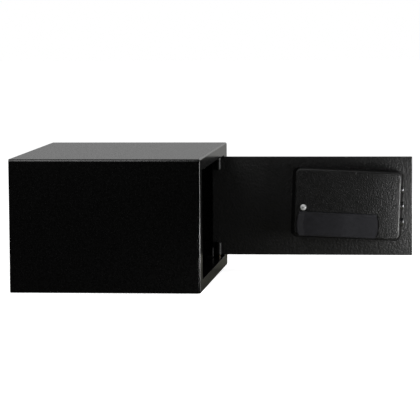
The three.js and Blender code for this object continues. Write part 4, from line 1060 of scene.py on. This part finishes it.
@dataclass(frozen=True)
class LockCover:
    """The moulded cover on the inside of the door, a little askew, with its battery cover and screw.

    Sides are the free side, the hinge side, the bottom and the top. The grip has its drop, its flat end and its
    length; the swell its height, its middle and its reach; the bead its height, its distance under the top, its width
    and its run-in; the thread its root, its crest and half its pitch.
    """

    width: float = 186.0
    height: float = 118.0
    depth: float = 36.0
    wall: float = 2.5
    face: float = 3.2
    corner: float = 8.5
    edge: float = 2.5
    foot: Sides = (0.5, 0.2, -0.6, 0.6)
    draft: Sides = (0.9, 0.5, -0.4, 1.7)
    # Sides of the dark strip under the cover, wide at the hinge side and the bottom to paint the cover's shadow on the
    # door
    shadow_strip: Sides = (-1.7, -7.0, -5.4, 0.8)
    shadow_strip_corner: float = 10.0
    shadow_strip_faces: tuple[float, float] = (0.05, 1.0)
    shadow_strip_edge: float = 0.25
    inner_edge: float = 1.0
    bolt_hole: float = 8.2
    bolt_depth: float = 16.0
    bolt_heights: tuple[float, float, float] = (141.35, 113.05, 84.75)
    lid_free: float = -52.0
    lid_hinge: float = 84.0
    lid_bulge: float = 3.8
    lid_top: float = -16.6
    lid_sheet: float = 1.6
    lid_recess: float = 1.9
    recess_play: float = 0.7
    recess_flare: float = 0.5
    lid_grid: tuple[int, int] = (41, 121)
    lid_rise: float = 1.5
    lid_low_edge: float = 1.6
    lid_rim: tuple[float, float] = (0.5, 0.4)
    grip: tuple[float, float, float] = (1.6, 1.0, 11.0)
    swell: tuple[float, float, float] = (0.7, -5.0, 13.0)
    bead: tuple[float, float, float, float] = (0.7, 1.6, 1.2, 6.0)
    panel_drop: float = 0.8
    tray_half: tuple[float, float] = (58.05, 16.8)
    tray_middle: tuple[float, float] = (15.0, -37.7)
    mouth_depth: tuple[float, float] = (20.0, 50.0)
    hook: tuple[float, float, float] = (10.0, 1.2, 3.6)
    screw: tuple[float, float] = (77.0, -9.0)
    screw_hole: float = 2.6
    screw_head: float = 5.1
    screw_tall: float = 2.9
    screw_side: float = 2.2
    screw_shank: float = 2.0
    thread: tuple[float, float, float] = (1.72, 0.26, 0.4)
    thread_long: float = 15.0
    slot_half: float = 0.85
    slot_depth: float = 2.3
    slot_turn: float = math.radians(33)

    def build(self) -> None:
        """Makes the cover, the battery cover and the screw."""
        self.add_cover()
        self.add_shadow_strip()
        self.add_lid()
        self.add_screw()

    def sided(self, sides: Sides, radius: float) -> Outline:
        """The cover's outline from the front, moved in at each side by its own amount.

        Args:
            sides: How far in each side is.
            radius: Radius of the corners.

        Returns:
            The outline.
        """
        free, hinge, bottom, top = sides
        half_x, half_z = self.width / 2, self.height / 2
        return round_rect(free - half_x, half_x - hinge, bottom - half_z, half_z - top, radius, 10)

    def outer(self) -> Form:
        """The cover's outer form: drafted walls and a quarter-round edge of the face.

        Returns:
            The closed shape.
        """
        inset, run = edge_run(self.edge, 8)
        foot, face = self.sided(self.foot, self.corner), self.sided(self.draft, self.corner)
        rings = [stand(foot(0.0), 1.0)]
        rings += [stand(face(i), self.depth - r) for i, r in zip(inset[::-1], run[::-1])]
        return loft(np.stack(rings))

    def hollow(self) -> Outline:
        """The outline of the space inside the walls."""
        return self.sided((self.wall,) * 4, self.corner - self.wall)

    def lid_ends(self, height: np.ndarray, grow: float) -> tuple[np.ndarray, np.ndarray]:
        """The two bowed ends of the battery cover: a parabola over its height at each end.

        Args:
            height: Heights of the points.
            grow: How far the outline is moved out.

        Returns:
            The places of the free end and the hinge end at those heights.
        """
        bottom = -self.height / 2 - 1
        share = np.clip((height - bottom) / (self.lid_top - bottom), 0, 1)
        bow = self.lid_bulge * 4 * share * (1 - share)
        return self.lid_free - grow - bow, self.lid_hinge + grow + bow

    def recess(self, grow: float, y0: float, y1: float, flare: float) -> Form:
        """The space that the battery cover lies in.

        Args:
            grow: How far it is wider than the battery cover, all round.
            y0: Its floor.
            y1: Its mouth.
            flare: How much wider still it is at the mouth.

        Returns:
            The closed shape that is cut out of the cover.
        """
        heights = np.linspace(-self.height / 2 - 1, self.lid_top, 25)
        rings = []
        for more, y in ((0.0, y0), (0.0, y1 - 1.0), (flare, y1)):
            z = heights.copy()
            z[-1] += grow + more
            free, hinge = self.lid_ends(z, grow + more)
            flat = np.vstack([np.stack([free, z], -1), np.stack([hinge, z], -1)[::-1]])
            rings.append(stand(flat, y))
        return loft(np.stack(rings))

    def add_cover(self) -> None:
        """A box of one wall thickness, open towards the door, with the recess and mouth of the battery tray."""
        hollow = slab(self.hollow(), -2.0, self.depth - self.face, 0.0, self.inner_edge)
        flare = self.recess_flare
        recess = self.recess(self.recess_play, self.depth - self.lid_recess, self.depth + flare, flare)
        (x, z), (half_x, half_z) = self.tray_middle, self.tray_half
        mouth = block((x - half_x, x + half_x), self.mouth_depth, (z - half_z, z + half_z), 0.8)
        screw = rod(self.screw_hole, *self.mouth_depth, Run.ALONG_Y, 32).moved(self.screw[0], 0, self.screw[1])
        hole = rod(self.bolt_hole, -self.width / 2 - 8, -self.width / 2 + 8, Run.ALONG_X)
        holes = [hole.moved(0, self.bolt_depth, height - COVER_MIDDLE[2]).placed(turned(-TILT))
                 for height in self.bolt_heights]
        form = carve(self.outer(), [hollow, recess, mouth, screw, *holes])
        put("moulded_lock_cover", form.placed(ASKEW_PLACE), ABS_GRAINED, "door", ["lock_cover"])

    def add_shadow_strip(self) -> None:
        """The foam strip between the cover and the door, seen past the free side, the hinge side and the bottom, where
        its width paints the cover's shadow on the door.
        """
        outer = self.sided(self.shadow_strip, self.shadow_strip_corner)
        form = framed(outer, self.hollow(), *self.shadow_strip_faces, self.shadow_strip_edge).placed(ASKEW_PLACE)
        put("cover_shadow_strip", form, SHADOW_STRIP, "door")

    def add_lid(self) -> None:
        """The battery cover: a raised grip at its hinge end, then a smooth panel that is dished and crowned.

        Its face falls by a ramp beside the grip, swells along x by a tanh, and carries a bell-shaped bead under the
        top edge. The rims fall off by an exponential, and the lower rim by a quarter-round.
        """
        height, along = np.meshgrid(*(np.linspace(0, 1, count) for count in self.lid_grid))
        bottom = -self.height / 2 - 0.3
        z = bottom + height * (self.lid_top - bottom)
        free, hinge = self.lid_ends(z, 0)
        x = free + along * (hinge - free)
        below = self.lid_top - z
        fall, run = self.lid_rim
        rounding = fall * np.exp(-np.clip(np.minimum(hinge - x, below), 0, None) / run)
        tall, away, wide, start = self.bead
        bead = tall * np.exp(-(((below - away) / wide) ** 2)) * np.clip((x - free) / start, 0, 1)
        drop, end, length = self.grip
        ramp = drop * np.clip((hinge - end - x) / length, 0, 1)
        rise, middle, reach = self.swell
        swell = rise * np.tanh((x - middle) / reach)
        curve = self.lid_low_edge
        low_edge = curve - np.sqrt(curve**2 - np.clip(curve - (z - bottom), 0, curve) ** 2)
        y = self.depth + self.lid_rise - ramp + swell - self.panel_drop + bead - rounding - low_edge
        sheet = self.depth - self.lid_sheet
        face = np.stack([x, y, z], axis=-1)
        back = np.stack([x, np.minimum(sheet - 0.2, y - 0.5), z], axis=-1)
        long, thick, deep = self.hook
        x0 = self.tray_middle[0] - long / 2
        hooks = []
        for side in (-1, 1):
            edge = self.tray_middle[1] + side * (self.tray_half[1] - 0.3)
            span = tuple(sorted((edge, edge - side * thick)))
            hooks.append(block((x0, x0 + long), (sheet - deep, sheet + 0.2), span))
        form = pillow(face, back).joined(*hooks).placed(ASKEW_PLACE)
        put("battery_lid", form, ABS_SMOOTH, "battery_cover", ["battery_cover"], 50)

    def add_screw(self) -> None:
        """A slotted screw with a threaded shank and a domed head, whose ball passes through the rim and the crown."""
        base = self.depth + 0.3
        head, tall, shank = self.screw_head, self.screw_tall, self.screw_shank
        rise = tall - self.screw_side
        ball = (head**2 + rise**2) / (2 * rise)
        turn = np.linspace(math.asin(head / ball), 0, 12)
        dome = [(ball * math.sin(a), base + tall - ball * (1 - math.cos(a))) for a in turn]
        root, crest, pitch = self.thread
        thread = [(root + crest * (step % 2), base - self.thread_long + step * pitch) for step in range(36)]
        neck = [(shank, base - 0.4), (shank, base), (head - 0.3, base), (head, base + 0.3)]
        slot = block((-8, 8), (base + tall - self.slot_depth, base + tall + 3), (-self.slot_half, self.slot_half), 0.1)
        whole = lathe([(0.6, base - 16), *thread, *neck, *dome], Run.ALONG_Y)
        cut = carve(whole, [slot.placed(turned(-self.slot_turn))])
        form = cut.moved(self.screw[0], 0, self.screw[1]).placed(ASKEW_PLACE)
        put("slotted_cover_screw", form, NICKEL, "door", ["cover_screw"], 40)


@dataclass(frozen=True)
class BoltWork:
    """Three bolts, and the carriage, rack, pinion and motor behind the cover. Neck and rivet: radius and length."""

    radius: float = 7.0
    chamfer: float = 1.2
    neck: tuple[float, float] = (4.0, 3.1)
    rivet: tuple[float, float] = (5.5, 1.7)

    def build(self) -> None:
        """Turns the bolts and dresses what stays from the CAD."""
        for place in ("upper", "middle", "lower"):
            self.add_bolt(place)
        dress(ZINC, "bolt_carriage", "lock_chassis", "gear_motor", "override_cam", "cylinder_nut",
              "override_cylinder")
        dress(NYLON, "drive_pinion")
        dress(BRASS, "override_plug")

    def add_bolt(self, place: str) -> None:
        """A turned bolt: rounded nose, polished shank, spigot and riveted end.

        Args:
            place: Upper, middle or lower.
        """
        low, high = node_box(f"bolt_{place}")
        x, _, z = (low + high) / 2
        tip, end = low[1], high[1]
        radius, cut = self.radius, self.chamfer
        turn = np.linspace(0, math.pi / 2, 6)
        nose = [(radius - cut * (1 - math.sin(t)), tip + cut * (1 - math.cos(t))) for t in turn]
        (thin, long), (wide, tall) = self.neck, self.rivet
        rivet = end - tall
        neck = rivet - long
        tail = [(radius, neck - 0.3), (radius - 0.3, neck), (thin, neck), (thin, rivet), (wide, rivet),
                (wide, rivet + 0.6), (4.6, end - 0.3), (2.5, end)]
        form = lathe([*nose, *tail], Run.ALONG_Y, 48).moved(x, 0, z)
        put(f"bolt_pin_{place}", form, BLACK_NICKEL, "bolts", [f"bolt_{place}"])


@dataclass(frozen=True)
class Power:
    """Cells, tray, contacts, board and cable behind the cover."""

    def build(self) -> None:
        """Dresses the CAD nodes."""
        dress(ABS_GRAINED, "battery_tray")
        dress(JACKET, "battery_1", "battery_2", "battery_3", "battery_4")
        dress(ZINC, "battery_contact_free", "battery_contact_hinge")
        dress(BOARD, "main_board", "keypad_board")
        dress(CABLE, "keypad_cable")


@dataclass(frozen=True)
class Keypad:
    """The keypad on the outside of the door: bezel, window, twelve keys and the keyhole cap."""

    middle: tuple[float, float] = (-230.0, 120.05)
    size: tuple[float, float] = (168.0, 92.0)
    corner: float = 9.0
    edge: float = 2.0
    face: float = -19.3
    back: float = -9.3
    wall: float = 2.0
    key: tuple[float, float] = (20.0, 12.0)
    key_corner: float = 2.0
    key_play: float = 0.8
    key_lip: float = 2.0
    key_edge: float = 0.8
    key_back: float = 4.3
    lip_faces: tuple[float, float] = (2.3, 3.3)
    pitch: tuple[float, float] = (25.0, 18.0)
    row_z: float = -17.0
    proud: float = 1.6
    names: tuple[str, ...] = ("1", "2", "3", "4", "5", "clear", "6", "7", "8", "9", "0", "lock")
    legend: dict[str, str] = field(default_factory=lambda: {"clear": "C", "lock": "#"})
    legend_size: float = 8.0
    legend_half: float = 0.04
    window_middle: tuple[float, float] = (-272.0, 148.05)
    window: tuple[float, float] = (52.0, 20.0)
    window_corner: float = 1.2
    window_edge: float = 0.5
    window_faces: tuple[float, float] = (0.3, 1.9)
    lock_bore: float = 9.3
    cap_pivot: float = 162.05
    cap_radius: float = 11.0
    cap_ear: float = 4.0
    cap_bore: float = 1.8
    cap_faces: tuple[float, float] = (2.3, 0.3)
    cap_edges: tuple[float, float] = (0.6, 0.2)
    rivet_head: float = 3.0
    rivet_shank: float = 1.5

    def build(self) -> None:
        """Makes the keypad's pieces."""
        self.add_bezel()
        self.add_window()
        for number, name in enumerate(self.names):
            self.add_key(number, name)
        self.add_cap()
        dress(ABS_GRAINED, "display_module")
        dress(RUBBER, "key_mat")

    def key_place(self, number: int) -> tuple[float, float]:
        """The middle of a key on the door.

        Args:
            number: The key's number along the rows, from 0.

        Returns:
            Its place across and up the door.
        """
        column, row = number % 6, number // 6
        x = self.middle[0] + (column - 2.5) * self.pitch[0]
        z = self.middle[1] + self.row_z + (0.5 - row) * self.pitch[1]
        return x, z

    def rect(
        self, middle: tuple[float, float], size: tuple[float, float], grow: float, radius: float, steps: int = 6
    ) -> Outline:
        """A round rectangle about a middle, with `grow` added to its width and height."""
        (x, z), wide, tall = middle, size[0] + grow, size[1] + grow
        return round_rect(x - wide / 2, x + wide / 2, z - tall / 2, z + tall / 2, radius, steps)

    def add_bezel(self) -> None:
        """A shallow moulded box with a rounded face edge, cut for the keys, the window and the lock."""
        outer = slab(self.rect(self.middle, self.size, 0, self.corner, 10), self.face, self.back, self.edge, 0.0, 8)
        inner = self.face + self.wall
        hollow = slab(self.rect(self.middle, self.size, -2 * self.wall, self.corner - 2), inner, self.back + 5)
        span = (self.face - 5, inner + 1)
        cuts = [slab(self.rect(self.key_place(number), self.key, self.key_play, 2.4), *span)
                for number in range(len(self.names))]
        cuts.append(slab(self.rect(self.window_middle, self.window, 0.6, 1.5), *span))
        for radius, height, sides in ((self.lock_bore, LOCK_AXIS[1], 48), (self.cap_bore, self.cap_pivot, 24)):
            cuts.append(rod(radius, *span, Run.ALONG_Y, sides).moved(LOCK_AXIS[0], 0, height))
        form = carve(outer, [hollow, *cuts]).placed(DOOR_PLACE)
        put("keypad_housing", form, ABS_GRAINED, "door", ["keypad_bezel"])

    def add_window(self) -> None:
        """A lens with rounded edges, a hair below the bezel's face."""
        outline = self.rect(self.window_middle, self.window, 0, self.window_corner)
        form = slab(outline, *(self.face + place for place in self.window_faces), self.window_edge)
        put("display_lens", form.placed(DOOR_PLACE), WINDOW, "door", ["display_window"])

    def add_key(self, number: int, name: str) -> None:
        """A key top with a rounded edge and a lip behind the bezel, and its printed number.

        Args:
            number: The key's number along the rows, from 0.
            name: Its name.
        """
        middle = self.key_place(number)
        front = self.face - self.proud
        top = self.rect(middle, self.key, 0, self.key_corner, 5)
        cap = slab(top, front, self.face + self.key_back, self.key_edge, 0.0, 5)
        outline = self.rect(middle, self.key, self.key_lip, self.key_corner, 5)
        lip = slab(outline, *(self.face + place for place in self.lip_faces))
        form = cap.joined(lip).placed(DOOR_PLACE)
        body = f"key_{name}"
        put(f"{body}_top", form, ABS_KEY, body, [body])
        self.add_legend(self.legend.get(name, name), middle, front, body)

    def add_legend(self, words: str, middle: tuple[float, float], face: float, body: str) -> None:
        """A number in flat ink, a tenth of a millimetre thick.

        Args:
            words: What it shows.
            middle: Middle of the key.
            face: Depth of the key's face.
            body: Body of the key.
        """
        name = f"{body}_legend"
        curve = bpy.data.curves.new(name, "FONT")
        curve.body = words
        curve.size = self.legend_size
        curve.extrude = self.legend_half
        curve.align_x = "CENTER"
        curve.align_y = "CENTER"
        text = bpy.data.objects.new(name, curve)
        bpy.context.scene.collection.objects.link(text)
        graph = bpy.context.evaluated_depsgraph_get()
        mesh = bpy.data.meshes.new_from_object(text.evaluated_get(graph))
        flat = read_form(mesh)
        bpy.data.objects.remove(text)
        bpy.data.curves.remove(curve)
        bpy.data.meshes.remove(mesh)
        across, up, out = flat.points.T
        stood = np.stack([across + middle[0], face - 0.03 - out, up + middle[1]], axis=-1)
        put(name, Form(stood, flat.faces).placed(DOOR_PLACE), KEY_INK, body)

    def add_cap(self) -> None:
        """The keyhole cap: a disc with a rounded edge and an ear, and the domed rivet that it swings on."""
        x, z = LOCK_AXIS
        front, back = (self.face - place for place in self.cap_faces)
        turn = np.linspace(0, 2 * math.pi, 72, endpoint=False) + math.pi / 2
        ray = np.stack([np.cos(turn), np.sin(turn)], axis=-1)

        def outline(inset: float) -> np.ndarray:
            """The disc with its ear, moved in by a distance.

            Args:
                inset: The distance.

            Returns:
                Points across and up.
            """
            disc = (self.cap_radius - inset) * ray
            reach = self.cap_ear - inset
            side = np.clip(disc[:, 0], -reach, reach)
            top = self.cap_pivot - z + np.sqrt(np.maximum(reach**2 - side**2, 0))
            in_ear = (np.abs(disc[:, 0]) < reach) & (disc[:, 1] > 0)
            return np.array([x, z]) + np.where(in_ear[:, None], np.stack([side, top], axis=-1), disc)

        hole = rod(self.cap_bore, front - 5, back + 5, Run.ALONG_Y, 24).moved(x, 0, self.cap_pivot)
        form = carve(slab(outline, front, back, *self.cap_edges, 5), [hole]).placed(DOOR_PLACE)
        put("swinging_keyhole_cap", form, ABS_SMOOTH, "keyhole_cap", ["keyhole_cap"])

        head, shank, under = self.rivet_head, self.rivet_shank, front - 0.3
        turn = np.linspace(math.pi / 2, 0, 6)
        dome = [(head * math.cos(t), front - 0.6 - 0.7 * math.sin(t)) for t in turn]
        profile = [*dome, (head, under), (shank, under), (shank, self.face + 2.0)]
        rivet = lathe(profile, Run.ALONG_Y, 32).moved(x, 0, self.cap_pivot).placed(DOOR_PLACE)
        put("cap_rivet", rivet, ZINC, "door", ["keyhole_cap_rivet"])


@dataclass(frozen=True)
class Studio:
    """Camera, floor, world and lamps: places in metres, angles in degrees, the camera's sensor in millimetres."""

    focal_pixels: float = 2537.338
    image_pixels: float = 420.0
    eye: tuple[float, float, float] = (-4.29894, -0.6149, 0.50531)
    yaw: float = 6.17175
    pitch: float = -5.12229
    roll: float = -0.42924
    sensor: float = 36.0
    clip: tuple[float, float] = (0.1, 60.0)
    floor_half: float = 12.0
    floor_level: float = -0.0004

    def build(self) -> None:
        """Sets up all that isn't the object."""
        self.add_camera()
        self.add_floor()
        self.add_world()
        for box in SOFTBOXES:
            self.add_lamp(box)

    def add_camera(self) -> None:
        """A long lens at the photograph's place: forward is the yaw and pitch, and roll turns the frame."""
        yaw, pitch, roll = np.radians([self.yaw, self.pitch, self.roll])
        forward = np.array([math.cos(pitch) * math.cos(yaw), math.cos(pitch) * math.sin(yaw), math.sin(pitch)])
        right = np.cross(forward, [0.0, 0.0, 1.0])
        right /= np.linalg.norm(right)
        up = np.cross(right, forward)
        across = right * math.cos(roll) + up * math.sin(roll)
        upward = -right * math.sin(roll) + up * math.cos(roll)
        data = bpy.data.cameras.new("camera")
        data.sensor_width = self.sensor
        data.lens = self.focal_pixels / self.image_pixels * self.sensor
        data.clip_start, data.clip_end = self.clip
        bpy.context.scene.camera = self.stood("camera", data, across, upward, -forward, self.eye)

    def stood(self, name: str, data: bpy.types.ID, *columns: Sequence[float]) -> bpy.types.Object:
        """Puts a camera or lamp into the scene.

        Args:
            name: Name of the object.
            data: The camera or the lamp.
            columns: Its axes x, y and z, and its place.

        Returns:
            The object.
        """
        item = bpy.data.objects.new(name, data)
        bpy.context.scene.collection.objects.link(item)
        matrix = np.eye(4)
        matrix[:3, :4] = np.stack(columns, axis=-1)
        item.matrix_world = matrix.T.tolist()
        return item

    def add_floor(self) -> None:
        """A plain pale floor that looks white and keeps the object's shadow; where gloss mirrors it, it carries
        painted shade in front and a painted glow behind and beside.
        """
        mesh = bpy.data.meshes.new("floor")
        side = self.floor_half
        corners = [(x * side, y * side, self.floor_level) for x, y in ((-1, -1), (1, -1), (1, 1), (-1, 1))]
        mesh.from_pydata(corners, [], [(0, 1, 2, 3)])
        floor = bpy.data.objects.new("floor", mesh)
        bpy.context.scene.collection.objects.link(floor)
        material = bpy.data.materials.new("studio_floor")
        material.use_nodes = True
        tree = material.node_tree
        tree.nodes.clear()
        node = partial(add_node, tree)
        ray = node("ShaderNodeLightPath").outputs
        plain = node(MATH, HIGHER, {0: ray["Is Camera Ray"], 1: ray["Is Transmission Ray"]}).outputs[0]
        lift = node(MATH, TIMES, {0: plain, 1: FLOOR_SHOWN}).outputs[0]
        place = node("ShaderNodeTexCoord").outputs["Object"]
        part = node("ShaderNodeSeparateXYZ", inputs={0: place}).outputs
        ramp = node(RANGE, SMOOTH, {"Value": part["X"], "From Min": -0.35, "From Max": 0.1}).outputs[0]
        painted_gloss_tones = node(MIX, COLOURS, {0: ramp, 6: linear(FLOOR_SHADE_FRONT), 7: linear(FLOOR_LIGHT_BEHIND)}).outputs[2]
        colour = node(MIX, COLOURS, {0: ray["Is Glossy Ray"], 6: linear(FLOOR_SEEN), 7: painted_gloss_tones}).outputs[2]
        paper = node("ShaderNodeBsdfDiffuse", inputs={"Color": colour}).outputs[0]
        inputs = {"Value": part["X"], "From Min": 0.35, "From Max": 1.4, "To Min": 0.0, "To Max": WORLD_BEHIND / 2}
        far = node(RANGE, SMOOTH, inputs).outputs[0]
        inputs = {"Value": part["Y"], "From Min": 0.2, "From Max": 0.9, "To Max": WORLD_BESIDE}
        aside = node(RANGE, SMOOTH, inputs).outputs[0]
        wing = node(MATH, TIMES, {0: aside, 1: ramp}).outputs[0]
        painted_gloss_glow = node(MATH, HIGHER, {0: far, 1: wing}).outputs[0]
        sight = node(MATH, TIMES_PLUS, {0: ray["Is Glossy Ray"], 1: painted_gloss_glow, 2: lift}).outputs[0]
        glow = node("ShaderNodeEmission", inputs={"Color": (1, 1, 1, 1), "Strength": sight}).outputs[0]
        both = node("ShaderNodeAddShader", inputs={0: paper, 1: glow}).outputs[0]
        node("ShaderNodeOutputMaterial", inputs={"Surface": both})
        mesh.materials.append(material)

    def add_world(self) -> None:
        """White where it is seen, soft grey where it lights, and dimmer towards the camera where gloss mirrors it."""
        world = bpy.data.worlds.new("studio")
        bpy.context.scene.world = world
        world.use_nodes = True
        tree = world.node_tree
        tree.nodes.clear()
        node = partial(add_node, tree)
        ray = node("ShaderNodeLightPath").outputs
        way = node("ShaderNodeTexCoord").outputs["Generated"]
        part = node("ShaderNodeSeparateXYZ", inputs={0: way}).outputs
        inputs = {"Value": part["X"], "From Min": -0.15, "From Max": 0.6}
        inputs |= {"To Min": WORLD_AHEAD, "To Max": WORLD_BEHIND}
        side = node(RANGE, SMOOTH, inputs).outputs[0]
        across = node(MATH, {"operation": "ABSOLUTE"}, {0: part["Y"]}).outputs[0]
        inputs = {"Value": across, "From Min": 0.45, "From Max": 0.85, "To Max": WORLD_BESIDE}
        beside = node(RANGE, SMOOTH, inputs).outputs[0]
        raised = node(RANGE, SMOOTH, {"Value": part["Z"], "From Min": 0.05, "From Max": 0.3}).outputs[0]
        wings = node(MATH, TIMES, {0: beside, 1: raised}).outputs[0]
        around = node(MATH, HIGHER, {0: side, 1: wings}).outputs[0]
        gloss = node(MATH, TIMES, {0: ray["Is Glossy Ray"], 1: around}).outputs[0]
        plain = node(MATH, HIGHER, {0: ray["Is Camera Ray"], 1: ray["Is Transmission Ray"]}).outputs[0]
        shown = node(MATH, HIGHER, {0: gloss, 1: plain}).outputs[0]
        fill = node(MATH, TIMES, {0: ray["Is Diffuse Ray"], 1: WORLD_FILL}).outputs[0]
        level = node(MATH, TIMES_PLUS, {0: shown, 1: WORLD_SHOWN, 2: fill}).outputs[0]
        back = node("ShaderNodeBackground", inputs={"Color": (1, 1, 1, 1), "Strength": level}).outputs[0]
        node("ShaderNodeOutputWorld", inputs={"Surface": back})

    def add_lamp(self, box: Softbox) -> None:
        """Adds a softbox, which faces its target and isn't itself seen.

        Args:
            box: The lamp's place, size and power.
        """
        data = bpy.data.lights.new(box.name, "AREA")
        data.shape = "RECTANGLE"
        data.size, data.size_y = box.size
        data.energy = box.power
        data.spread = math.radians(box.spread)
        away = np.array(box.place) - np.array(box.target)
        away /= np.linalg.norm(away)
        across = np.cross([0.0, 0.0, 1.0], away)
        across /= np.linalg.norm(across)
        lamp = self.stood(box.name, data, across, np.cross(away, across), away, box.place)
        lamp.visible_camera = False
        lamp.visible_glossy = box.mirrored


def main() -> None:
    """Builds the studio and every sub-assembly in order."""
    logging.basicConfig(level=logging.INFO, format="%(name)s: %(message)s")
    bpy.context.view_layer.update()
    bpy.context.scene.view_settings.view_transform = "Standard"
    for part in (Studio(), SteelBody(), Hinges(), Door(), LockCover(), BoltWork(), Power(), Keypad()):
        LOG.info("building %s", type(part).__name__)
        part.build()


if __name__ == "__main__":
    main()
